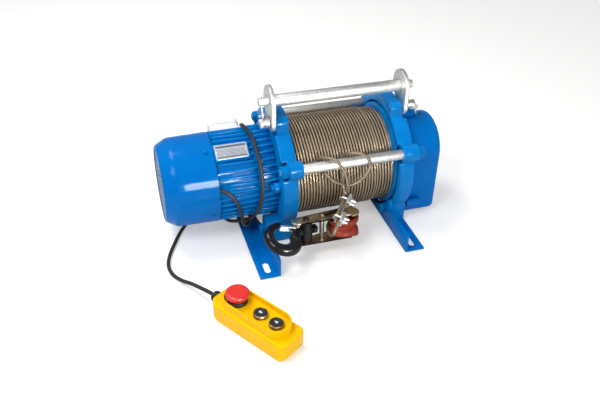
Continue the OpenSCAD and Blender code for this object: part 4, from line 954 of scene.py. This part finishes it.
@dataclass
class Cords(Assembly):
    """Motor lead, control cable and the rope's free tail, each along its CAD route."""

    lead_d: float = 7.0
    rope_d: float = 6.0
    strand_gap: float = 3.1
    clip_high: Point = (19, -121, 102)
    clip_low: Point = (-7, -157, 90)
    clip_turn: Point = (108, -20, 54)
    groove_r: float = 27.0

    def lead_route(self) -> List[Point]:
        """Gives the motor lead's route: box gland, over the top, loop below, cowl rim.

        Returns:
            The points of its centre line, in millimetres.
        """
        rel = [(-126, 101, 20), (-119, 101, 20), (-112, 100.5, 21), (-110, 96, 31),
               (-117, 87, 43), (-126, 76.5, 55.5), (-134, 65.5, 68), (-139.8, 52, 76),
               (-141.5, 36, 84.8), (-141, 19, 90.2), (-139.5, 2, 92.2), (-137, -14.5, 91.7),
               (-135, -32.5, 89), (-135, -49, 82), (-134, -64, 71.5), (-133, -77, 57),
               (-133, -90, 34), (-134, -95, 12), (-137, -95, -12), (-143, -88, -38),
               (-151, -74, -60), (-161, -60, -74), (-176, -44, -86), (-188, -28, -94),
               (-193, -8, -98), (-184, 12, -98), (-166, 20, -97), (-148, 12, -98),
               (-139, -6, -99), (-141, -28, -96), (-150, -46, -90), (-163, -65, -80.5),
               (-170, -78, -62), (-175, -88, -37), (-182, -94, -10), (-190, -94, 6),
               (-199, -89, 16), (-208, -83, 18.5), (-215, -80, 19), (-221, -80, 19)]
        return [tuple(DRUM_AXIS @ Vector(p)) for p in rel]

    def control_route(self) -> List[Point]:
        """Gives the control cable's route: box gland, under the motor, hand control.

        Returns:
            The points of its centre line, in millimetres.
        """
        ends = [tuple(PENDANT @ Vector((x, 0, z))) for x, z in ((-120, 22), (-108, 23), (-96, 23))]
        return [(-176, 111, 71), (-176, 111, 61), (-177, 110, 46), (-181, 106, 30),
                (-189, 98, 16), (-201, 87, 7), (-217, 72, 4), (-240, 48, 4), (-265, 22, 4),
                (-285, -6, 4), (-303, -41, 4), (-318, -75, 4), (-325, -105, 4),
                (-321, -132, 4), (-308, -155, 6), (-292, -178, 13)] + ends

    def held(self, at: Point, side: int, *along: float) -> List[Point]:
        """Gives points of one of the two rope parts that a clip holds."""
        where = placed(at, self.clip_turn)
        return [tuple(where @ Vector((x, 0, side * self.strand_gap))) for x in along]

    def tail_route(self) -> List[Point]:
        """Gives the rope tail's route: cut end, rod, clips, sheave, under the drum.

        Returns:
            The points of its centre line, in millimetres.
        """
        low, high = self.clip_low, self.clip_high
        route = self.held(low, -1, -14, 0, 14) + self.held(high, -1, -12, 0, 12)
        route += [(21, -106, 119), (21, -100, 132), (20, -89, 147), (22, -81, 163),
                  (28, -83, 180), (35, -95, 188), (49, -103, 191), (65, -108, 182),
                  (71, -110, 164), (64, -110, 145), (49, -110, 132), (32, -110, 127),
                  (15, -110, 132), (-3, -110, 143), (-15, -100, 153), (-24, -84, 160),
                  (-25, -80, 174), (-17, -90, 184), (-1, -103, 186), (11, -112, 174),
                  (20, -115, 155), (24, -118, 136), (27, -117, 121)]
        route += self.held(high, 1, 12, 0, -12) + self.held(low, 1, 14, 0, -12)
        route += [(-17, -175, 79), (-22, -177, 70), (-25, -170, 62), (-25, -158, 58),
                  (-22, -145, 55.5)]
        for a, wide in ((172, 4.0), (145, 0.0), (118, 0.0), (91, 0.0)):
            turn = radians(a)
            around = Vector(((self.groove_r + wide) * cos(turn),
                             self.groove_r * sin(turn), 0))
            route.append(tuple(BLOCK @ around))
        route += [(30, -99, 45.5), (42, -92, 43), (53, -78, 36), (61, -61, 28), (67, -43, 19),
                  (70, -25, 13), (72, 0, 12), (73, 22, 11.5)]
        return route

    def cord(self, name: str, node: str, finish: str, line: List[List[float]], tied: int,
             diameter: float, sides: int, strands: int = 0, **says: object) -> None:
        """Makes and declares one cord.

        Args:
            name: Name of the piece.
            node: CAD node that it stands for.
            finish: Its finish.
            line: Centre line, in millimetres.
            tied: Not used.
            diameter: Its diameter, in millimetres.
            sides: Points round it.
            strands: Number of twisted strands, 0 for a plain jacket.
            says: Not used.
        """
        obj = self.swept(line, diameter / 2, sides, strands)
        self.place(obj, name, finish, node, at=HERE)

    def build(self) -> None:
        """Makes the three cords."""
        ends = ["pendant_base", "pendant_cover", "pendant_gland"]
        self.cord("motor_lead_jacket", "motor_lead", "cable_jacket",
                  smooth_line(self.lead_route(), 8), 0, self.lead_d, 16,
                  far_end="object", with_pieces=[])
        self.cord("control_cable_jacket", "pendant_cable", "cable_jacket",
                  smooth_line(self.control_route(), 8), 0, self.lead_d, 16,
                  far_end="tool", with_pieces=[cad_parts[n] for n in ends])
        self.cord("rope_tail_strands", "rope_tail", "wire_rope",
                  smooth_line(self.tail_route(), 12), -1, self.rope_d, 24, STRANDS,
                  far_end="bare")


@dataclass
class RopeDrum(Assembly):
    """Drum with its full layer of rope, side by side turns, a few of them sunk."""

    rope_d: float = 6.0
    left: float = -69.0
    right: float = 134.5
    pack_r: float = 98.6
    turns: int = 33
    rings_per_turn: int = 72
    sunk_from: float = 97.0
    sunk_by: float = 2.2
    sunk_over: float = 5.0
    cross_from: float = 0.55
    cross_over: float = 0.3
    gap: float = 0.1
    slack: float = 0.8
    thinner: float = 0.12
    waves: Tuple[Pair, ...] = ((0.25, 2.1), (0.18, 13.7))
    furrow: Pair = (91.4, 89.6)
    furrow_end: float = 0.3
    furrow_rise: float = 0.8
    side_gap: float = 0.02
    bore_r: float = 60.02

    def winding(self) -> None:
        """Lays the rope on in one unbroken helix with small slack and crossing steps."""
        edge = self.rope_d / 2 + self.gap
        x0, x1 = self.left + edge, self.right - edge
        line = []
        for i in range(self.turns * self.rings_per_turn + 1):
            turn = i / self.rings_per_turn
            lap = turn - floor(turn)
            crossed = clamped((lap - self.cross_from) / self.cross_over)
            step = 0.5 - 0.5 * cos(pi * crossed)
            x = x0 + (x1 - x0) * (floor(turn) + step) / self.turns
            sunk = self.sunk_by * clamped((x - self.sunk_from) / self.sunk_over)
            wander = sum(size * sin(turn * pace) for size, pace in self.waves)
            r = self.pack_r - self.rope_d / 2 - sunk - abs(wander) * self.slack
            a = radians(-90 + 360 * lap)
            line.append((x, r * cos(a), r * sin(a)))
        obj = self.swept(line, self.rope_d / 2 - self.thinner, start=Vector((1.0, 0.0, 0.0)))
        self.place(obj, "rope_turns", "wire_rope_packed", "rope_winding", body=Body.DRUM,
                   at=DRUM_AXIS, slot="wire_rope")

    def core(self) -> None:
        """Gives the hidden layers below a furrowed skin."""
        crest, valley = self.furrow
        steps = [(self.bore_r, self.left + self.side_gap)]
        for k in range(int((self.right - self.left) / self.rope_d)):
            x = self.left + self.furrow_end + k * self.rope_d
            steps += [(crest, x), (valley, x + self.rope_d - self.furrow_rise)]
        steps += [(crest, self.right - self.furrow_end),
                  (self.bore_r, self.right - self.side_gap)]
        # The dark steel finish, darker than the rope itself, paints shade on the lower layers seen
        # in the gaps between turns.
        self.place(self.turned(steps, 96, ring=True), "rope_lower_layers", "dark_steel",
                   "rope_core", body=Body.DRUM, at=ALONG_X, slot="wire_rope")

    def build(self) -> None:
        """Makes the drum's pieces."""
        self.winding()
        self.core()
        self.eased("blue_fasteners", 0.8, "drum", body=Body.DRUM, slot="dark_paint")


@dataclass
class Motor(Assembly):
    """Finned motor with its fan cowl, grille and plate."""

    sheet: float = 1.5
    cowl_left: float = -315.0
    cowl_bend: float = -292.0
    cowl_rim: float = -214.0
    opening_r: float = 69.0
    grille_r: float = 69.2
    wire_r: float = 0.8
    mesh: float = 9.5
    slope: float = 30.0
    weave: float = 0.45
    weave_length: float = 11.0
    plate_angle: float = 118.5
    plate_x: float = -180.0
    plate_r: float = 88.0
    plate_size: Pair = (62.0, 32.0)
    plate_corner: float = 3.0
    plate_thick: float = 0.8
    pin_x: float = 28.0
    lid_screws_from: float = 105.0

    def cowl(self) -> None:
        """Presses the cowl: rounded shoulder, straight skirt and a thin rim."""
        x0, xb, x1, t = self.cowl_left, self.cowl_bend, self.cowl_rim, self.sheet
        outer = [(self.opening_r, x0 + 0.1), (self.opening_r + 1.5, x0), (73.0, x0),
                 (74.6, x0 + 0.7), (75.6, x0 + 2.0), (82.0, xb - 9.5), (85.0, xb - 4.0),
                 (86.6, xb + 1.0), (87.1, xb + 5.0), (87.8, x1 - 30), (88.3, x1 - 5.0),
                 (88.5, x1 - 1.0), (88.45, x1)]
        inner = [(r - t, x + (t if i < 4 else t * 0.4)) for i, (r, x) in enumerate(outer)]
        inner[0] = (self.opening_r, x0 + t)
        inner[-1] = (outer[-1][0] - t, x1)
        obj = self.settle(self.turned(outer + inner[::-1], 128, ring=True), ALONG_X)
        self.place(self.tidy(obj, 40.0), "cowl_pressing", "blue_sheet", "fan_cowl")

    def wire(self, k: int, sign: int, x: float) -> Obj:
        """Draws one wavy wire of the fan guard.

        Args:
            k: Number of the wire in its set, 0 for the one through the middle.
            sign: Which of the two sets it belongs to, 1 or -1.
            x: Place of the guard along the drum's axis, in millimetres.

        Returns:
            The wire, in millimetres.
        """
        offset = k * self.mesh
        half = sqrt(self.grille_r ** 2 - offset ** 2)
        a = radians(self.slope * sign)
        steps = max(6, int(half / 3))
        points = []
        for i in range(steps + 1):
            s = -half + 2 * half * i / steps
            wave = cos(pi * s / self.weave_length + k * pi)
            points.append((x + self.weave * sign * wave,
                           s * cos(a) - offset * sin(a),
                           s * sin(a) + offset * cos(a)))
        return self.swept(points, self.wire_r, 6)

    def grille(self) -> None:
        """Weaves the fan guard of two sets of round wires in a rolled ring."""
        x = self.cowl_left + self.sheet + 1.0
        wires = [self.wire(k, sign, x) for k in range(-7, 8) for sign in (-1, 1)]
        rim = self.turned([(67.2, x - 0.4), (67.8, x - 0.9), (71.0, x - 0.9),
                           (71.4, x + 0.2), (67.2, x + 0.4)], 96, ring=True)
        self.shift(rim, DRUM_AXIS.inverted() @ ALONG_X)
        self.place(self.join(rim, *wires), "fan_guard_wires", "guard_wire", "cowl_grille",
                   at=DRUM_AXIS, slot="galvanised")

    def nameplate(self) -> None:
        """Cuts the blank plate with rounded corners, ruled lines and two drive pins."""
        w, h = self.plate_size
        r = self.plate_corner
        corners: List[Pair] = []
        for quarter, (x, y) in enumerate(((1, 1), (-1, 1), (-1, -1), (1, -1))):
            corners += arc(x * (w / 2 - r), y * (h / 2 - r), r, 90 * quarter,
                           90 * quarter + 90, 4)
        obj = self.plate(corners, 0.0, self.plate_thick)
        layers = obj.data.uv_layers
        layer = layers[0] if layers else layers.new(name="UVMap")
        for loop in obj.data.loops:
            co = obj.data.vertices[loop.vertex_index].co
            layer.data[loop.index].uv = (0.5 - co.x / w, 0.5 + co.y / h)
        self.bevel(obj, 0.2, 1)
        where = (DRUM_AXIS @ placed(turn=(self.plate_angle, 0, 0))
                 @ placed((self.plate_x, self.plate_r, 0), (-90, 0, 0)))
        self.place(obj, "blank_plate", "plate_aluminium", "nameplate", at=where)
        for side, word in ((-1, "left"), (1, "right")):
            pin = self.turned([(1.7, 0.8), (1.6, 1.2), (1.0, 1.5), (0.3, 1.6)], 16)
            self.place(pin, f"plate_pin_{word}", "zinc_plate",
                       at=where @ placed((side * self.pin_x, 0, 0)))

    def screws(self) -> None:
        """Parts the lid screws, left in zinc, from the cowl screws, painted over."""
        cowl = self.copied("case_screws")
        self.edit(cowl, "FACE", lambda face: face.center.y > self.lid_screws_from * MM)
        bpy.ops.mesh.separate(type="SELECTED")
        set_mode("OBJECT")
        lid = next(obj for obj in bpy.context.selected_objects if obj is not cowl)
        for obj, name, finish in ((lid, "lid_screws", "zinc_plate"),
                                  (cowl, "cowl_screws", "blue_fasteners")):
            self.tidy(self.bevel(obj, 0.5 * MM), 38.0)
            self.place(obj, name, finish, "case_screws", slot="zinc_plate")

    def build(self) -> None:
        """Makes the motor's pieces."""
        self.cowl()
        self.grille()
        self.nameplate()
        self.eased("blue_casting", 0.7, "motor_housing", "drive_end_bell", "rear_end_shield")
        self.eased("white_plastic", 0.5, "terminal_box")
        self.eased("white_plastic", 1.4, "terminal_box_lid", segments=3)
        self.eased("black_plastic", 0.5, "cable_glands")
        self.eased("black_plastic", 0.25, "cable_tie")
        self.screws()
        self.eased("blue_fasteners", 0.4, "bell_bolts", slot="zinc_plate")
        self.eased("black_plastic", 0.4, "cooling_fan", body=Body.ROTOR)


@dataclass
class Frames(Assembly):
    """Feet, cast end frames, tie rods and their hardware."""

    def build(self) -> None:
        """Makes the frame's pieces."""
        self.eased("blue_sheet", 0.7, "left_foot", "right_foot")
        self.eased("blue_casting", 1.6, "left_end_frame", "right_end_frame", segments=3)
        self.eased("blue_fasteners", 0.5, "foot_bolts", slot="zinc_plate")
        self.eased("blue_fasteners", 0.7, "tie_rod_nuts")
        self.eased("rod_steel", 0.7, "front_tie_rod", slot="zinc_plate")
        self.eased("rod_steel", 0.7, "rear_tie_rods", slot="galvanised")


@dataclass
class Gearbox(Assembly):
    """Gear case, its deep cover with a rounded rim, bolts and breather."""

    left: float = 176.0
    right: float = 241.0
    wall: float = 5.0
    round_by: float = 10.0
    boss_top: float = 22.0
    spots: Tuple[Pair, ...] = ((-89, 34), (-91, -75), (-19, 93), (62, -20), (62, -90))

    def cover(self) -> None:
        """Casts the cover: side wall, rounded rim and end face, hollow behind, bosses."""
        outline = (arc(-71, -94, 14, 270, 180, 6) + [(-84.9, -40), (-84.7, 0)]
                   + arc(-19.5, 22, 65, 180, 23.7, 26) + arc(0, 0, 56, 23.7, 0, 6)
                   + [(56, -45)] + arc(42, -94, 14, 0, -90, 6))
        obj = self.plate(outline, self.left, self.right)
        self.round_level(obj, self.right, self.round_by, 7)
        self.edit_level(obj, "FACE", self.left)
        bpy.ops.mesh.delete(type="FACE")
        self.tidy(obj, 50.0)
        self.modify(obj, "SOLIDIFY", thickness=self.wall, offset=-1.0, use_even_offset=True)
        self.settle(obj, ALONG_X)
        profile = [(3.6, 0.6), (4.2, 0.0), (7.0, 0.0), (8.0, -1.0), (8.0, -22.0), (3.6, -22.0)]
        bosses = [self.settle(self.turned(profile, 40, ring=True),
                              ALONG_X @ placed((y, z, self.left + self.boss_top)))
                  for y, z in self.spots]
        self.place(self.join(obj, *bosses), "cover_casting", "blue_sheet", "gear_cover")

    def build(self) -> None:
        """Makes the gearbox pieces."""
        self.cover()
        self.eased("blue_casting", 1.0, "gear_case")
        self.eased("blue_fasteners", 0.7, "cover_bolts", slot="zinc_plate")
        self.eased("white_plastic", 0.8, "breather_plug", segments=3)


@dataclass
class RopeGuard(Assembly):
    """Swinging rope guard: plates, bar, pivots and twist springs."""

    middle: float = 34.0
    outer: float = -113.2
    wire: float = 1.25
    coil_r: float = 8.9
    coil_pitch: float = 3.0
    coil_turn: float = 982.0
    coil_steps: int = 96
    hook_r: float = 9.55
    post: Pair = (15, 37)

    def spring(self) -> List[Point]:
        """Gives the centre line of the left spring, about its pivot.

        Returns:
            Its points, in millimetres.
        """
        line = [(self.outer, y, z) for y, z in arc(*self.post, self.hook_r, 128, -22, 15)]
        first = -22.0
        for i in range(self.coil_steps + 1):
            a = radians(first - self.coil_turn * i / self.coil_steps)
            x = self.outer + self.coil_pitch * self.coil_turn / 360 * i / self.coil_steps
            line.append((x, self.coil_r * cos(a), self.coil_r * sin(a)))
        end = Vector(line[-1])
        a = radians(first - self.coil_turn)
        line += [tuple(end + Vector((0, sin(a), -cos(a))) * t) for t in (12, 24, 37)]
        return line

    def build(self) -> None:
        """Makes the guard's pieces."""
        left = self.spring()
        right = [(2 * self.middle - x, y, z) for x, y, z in left]
        obj = self.join(*(self.swept(line, self.wire, 10) for line in (left, right)))
        self.place(obj, "guard_spring_wires", "zinc_plate", "guard_springs", body=Body.GUARD,
                   at=placed((0, -24, 236)))
        self.eased("galvanised", 0.9, "guard_plates", body=Body.GUARD)
        self.eased("galvanised", 1.0, "guard_bar", body=Body.GUARD)
        self.eased("zinc_plate", 0.6, "guard_pivots")


@dataclass
class HookBlock(Assembly):
    """Single-sheave block with its cheeks, crosshead, hook and latch."""

    half: float = 15.5

    def sheave(self) -> None:
        """Turns the sheave with its rope groove, dished web and hub."""
        h = self.half
        profile = [(6.06, -20.5), (12.2, -20.5), (13.0, -19.7), (13.0, -10.6), (14.0, -9.8),
                   (20.0, -9.0), (23.5, -12.0), (25.0, -h), (30.2, -h), (31.0, 0.8 - h),
                   (31.0, -11.4), (30.6, -9.6), (27.8, -4.6), (24.9, -2.9), (23.6, -1.4),
                   (23.4, 0.0)]
        profile += [(r, -z) for r, z in reversed(profile[:-1])]
        self.place(self.turned(profile, 72, ring=True), "grooved_sheave", "red_paint",
                   "sheave", body=Body.SHEAVE, at=BLOCK)

    def hook(self) -> None:
        """Forges the hook along its centre line, with its shank, nut and latch eye."""
        centre = [(-12, 0, 0, 8.5), (-22, -1, 0, 9), (-29, -9, 0, 10.5), (-33, -20, 0, 12),
                  (-45, -29, 0, 12.5), (-60, -28, 0, 11.5), (-74, -17, 0, 10.5),
                  (-79, 0, 0, 10), (-74, 15, 0, 9), (-63, 24.5, 0, 7.5), (-52, 27, 0, 6),
                  (-46, 28.5, 0, 5), (-43, 29.5, 0, 2.5)]
        body = self.swept(smooth_line(centre, 8), sides=32, start=Vector((0.0, 0.0, 1.0)))
        along = placed(turn=(0, 90, 0))
        tip = ([(0.4, 2.2), (1.6, 1.7), (2.3, 0.7), (2.5, -0.4), (1.2, -0.8)], 24,
               placed((-42.6, 29.6, 0), (0, 90, 18)))
        shank = ([(5.0, 24.0), (6.5, 22.5), (6.5, -10.0), (6.5, -12.6), (9.0, -12.9),
                  (9.0, -17.0), (7.0, -19.0)], 40, along)
        nut = ([(8.2, 12.6), (9.6, 13.2), (9.8, 14.0), (9.8, 20.0), (9.4, 20.8),
                (8.4, 21.0)], 6, along)
        eye = ([(3.8, -4.0), (4.5, -3.3), (4.5, 3.3), (3.8, 4.0)], 32, placed((-21, 10.5, 0)))
        turnings = [self.shift(self.turned(profile, sides), where)
                    for profile, sides, where in (tip, shank, nut, eye)]
        obj = self.tidy(self.join(body, *turnings), 42.0)
        self.place(obj, "forged_hook", "black_forging", "hook", body=Body.HOOK, at=HOOK_PLANE)

    def build(self) -> None:
        """Makes the block's pieces."""
        self.sheave()
        self.hook()
        self.eased("yellow_zinc", 0.5, "upper_cheek", "lower_cheek")
        self.eased("dark_steel", 0.4, "spacer_bolt")
        self.eased("dark_steel", 0.7, "sheave_pin")
        self.eased("black_forging", 0.8, "crosshead", body=Body.CROSSHEAD)
        self.eased("zinc_plate", 0.4, "safety_latch", body=Body.LATCH)
        self.eased("zinc_plate", 0.4, "latch_pin", body=Body.HOOK)
        self.eased("zinc_plate", 0.4, "rope_clips")


@dataclass
class HandControl(Assembly):
    """Yellow hand control: two shells, gland, stop head, push buttons and arrows."""

    length: float = 164.0
    width: float = 60.0
    cable_end: float = 88.0
    corner: float = 12.0
    split: float = 9.5
    top: float = 40.5
    deck: float = 46.0
    rim: float = 56.5
    rim_round: float = 4.2
    base_inset: float = 2.6
    cut: float = 10.0
    cut_round: float = 5.0
    arrow: Pair = (53.2, 53.85)
    oval_r: float = 25.5
    oval_wall: float = 2.8
    stop_x: float = -45.0
    buttons_x: float = 25.5
    pitch: float = 35.0

    def at(self, x: float = 0.0) -> Matrix:
        """Gives the place of a piece that stands on the control's middle line."""
        return PENDANT @ placed((x, 0, 0))

    def button_x(self, side: int) -> float:
        """Gives the place of the push button nearer the stop (-1) or the end (1)."""
        return self.buttons_x + side * self.pitch / 2

    def shell(self, low: float, high: float, rim: float, inset: float = 0.0) -> Obj:
        """Moulds one half shell, its cable end cut at both corners, with a rounded rim.

        Args:
            low: Height of its underside.
            high: Height of its top.
            rim: Height of the edges that are rounded.
            inset: How far its wall stands back from the control's outline.

        Returns:
            The half shell, in millimetres.
        """
        end, w = self.length / 2 - inset - self.corner, self.width / 2 - inset
        r, e = self.corner - inset, self.cable_end - inset
        near, far = self.cut_round, self.cut_round + self.cut
        half = (arc(near - e, w - far, near, 180, 135, 3)
                + arc(far - e, w - near, near, 135, 90, 3) + arc(end, w - r, r, 90, 0, 8))
        obj = self.plate(half + [(x, -y) for x, y in reversed(half)], low, high)
        self.round_level(obj, rim, self.rim_round, 6)
        return self.tidy(self.bevel(obj, 0.45, 2, 60.0), 50.0)

    def oval(self) -> Obj:
        """Moulds the raised oval wall round the stop head and the push buttons.

        Returns:
            The wall and the deck inside it, in millimetres.
        """
        obj = self.plate(arc(self.button_x(1), 0, self.oval_r, 90, -90, 20)
                         + arc(self.stop_x, 0, self.oval_r, 270, 90, 20),
                         self.top - 1.0, self.rim)
        self.edit_level(obj, "FACE", self.rim)
        bpy.ops.mesh.inset(thickness=self.oval_wall, depth=0.0)
        drop = (0, 0, self.deck - self.rim)
        bpy.ops.mesh.extrude_region_move(TRANSFORM_OT_translate={"value": drop})
        return self.tidy(self.bevel(obj, 0.7, 3, 40.0), 40.0)

    def shells(self) -> None:
        """Makes both shells, the cover with its oval wall, and the collar of the stop."""
        base = self.shell(0.0, self.split - 0.05, 0.0, self.base_inset)
        self.place(base, "lower_shell", "yellow_plastic", "pendant_base", at=PENDANT)
        cover = self.shell(self.split + 0.05, self.top, self.top)
        self.place(self.join(cover, self.oval()), "upper_shell", "yellow_plastic",
                   "pendant_cover", at=PENDANT)
        ring = self.turned([(15.7, 44.0), (18.2, 44.0), (18.2, 51.8), (17.4, 52.6), (16.0, 52.8),
                            (15.7, 52.5)], 64, ring=True)
        self.place(ring, "stop_collar", "black_plastic", at=self.at(self.stop_x))

    def gland(self) -> None:
        """Turns the stout ribbed gland that the cable enters."""
        profile = [(7.0, 6.0), (7.0, 0.0), (11.6, 0.0), (11.6, -8.6), (11.0, -9.4)]
        z = -10.0
        for r in (11.2, 10.9, 10.4, 9.6):
            profile += [(r, z), (r, z - 1.7), (r - 0.9, z - 2.0), (r - 0.9, z - 2.4)]
            z -= 2.7
        profile += [(7.6, z), (3.55, -22.0), (3.55, 6.0)]
        self.place(self.turned(profile, 40, ring=True), "ribbed_gland", "black_plastic",
                   "pendant_gland", at=PENDANT @ placed((-82, 0, 23), (0, 90, 0)))

    def stop(self) -> None:
        """Turns the red mushroom head on its wide neck."""
        head = self.turned([(9.0, 38.0), (9.0, 50.7), (15.1, 50.7), (15.3, 51.2), (15.3, 58.4),
                            (19.2, 58.8), (20.3, 59.6), (20.5, 61.0), (20.5, 64.0),
                            (20.1, 65.8), (18.8, 67.1), (16.6, 67.7), (13.0, 67.5),
                            (9.0, 67.3), (3.0, 67.2)], 72)
        self.place(head, "mushroom_head", "red_plastic", "stop_button", body=Body.STOP,
                   at=self.at(self.stop_x))

    def button(self, side: int, body: Body, node: str) -> None:
        """Turns one push button and lays its arrow on the cap.

        Args:
            side: -1 for the button nearer the stop head, 1 for the other.
            body: The body that it rides on.
            node: CAD node that it stands for.
        """
        x = self.button_x(side)
        cap = self.turned([(6.0, 34.0), (6.0, 46.5), (10.75, 46.5), (10.75, 52.6), (10.3, 53.5),
                           (9.4, 53.9), (8.6, 53.8), (2.0, 53.3)], 48)
        self.place(cap, f"{node}_cap", "black_plastic", node, body=body, at=self.at(x))
        tip = side * 4.0
        outline = [(tip, 0.0), (tip * 0.05, 3.4), (tip * 0.05, 1.1), (-tip * 0.9, 1.1),
                   (-tip * 0.9, -1.1), (tip * 0.05, -1.1), (tip * 0.05, -3.4)]
        arrow = self.plate([(x + a, b) for a, b in outline], *self.arrow)
        self.bevel(arrow, 0.12, 1)
        self.place(arrow, f"{node}_arrow", "arrow_white", body=body, at=PENDANT,
                   slot="white_plastic")

    def collars(self) -> None:
        """Turns the two dark collars, each with a bright ring on its lip."""
        skirt = [(11.4, 40.2), (11.4, 46.0), (12.75, 46.2), (12.75, 50.2), (12.5, 51.0),
                 (10.98, 51.0), (10.95, 47.0), (10.95, 43.0), (6.6, 42.4), (6.6, 40.2)]
        ring = [(11.0, 51.02), (12.5, 51.02), (12.6, 51.8), (12.1, 52.7), (11.5, 52.9),
                (11.0, 52.5)]
        for profile, name, finish, nodes in ((skirt, "button_skirts", "dark_steel",
                                              ("button_collars",)),
                                             (ring, "button_rings", "bronze_ring", ())):
            pair = [self.settle(self.turned(profile, 64, ring=True), self.at(self.button_x(side)))
                    for side in (-1, 1)]
            self.place(self.join(*pair), name, finish, *nodes, slot="bronze_ring")

    def build(self) -> None:
        """Makes the hand control's pieces."""
        self.shells()
        self.gland()
        self.stop()
        self.button(-1, Body.UP, "up_button")
        self.button(1, Body.DOWN, "down_button")
        self.collars()


@dataclass
class InnerParts(Assembly):
    """Sealed pieces that keep their CAD shape and the machined finish, but for these."""

    others: Tuple[Tuple[str, str], ...] = (
        ("stator_windings", "copper"), ("contact_block", "black_plastic"))

    def build(self) -> None:
        """Dresses the inner nodes where they are."""
        for node, finish in self.others:
            self.finishes.dress(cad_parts[node], finish)
            LOG.info("%s keeps its shape, %s", node, finish)


def main() -> None:
    """Builds the studio and every sub-assembly, in order."""
    logging.basicConfig(level=logging.INFO, format="%(name)s: %(message)s")
    finishes = Finishes()
    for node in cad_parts.values():
        finishes.dress(node, "machined_steel")
    count = 0
    for kind in (Studio, Cords, RopeDrum, Motor, Frames, Gearbox, RopeGuard, HookBlock,
                 HandControl, InnerParts):
        part = kind(finishes)
        part.build()
        part.clear()
        count += len(part.made)
        LOG.info("%s done", kind.__name__)
    LOG.info("%d pieces made", count)


if __name__ == "__main__":
    main()
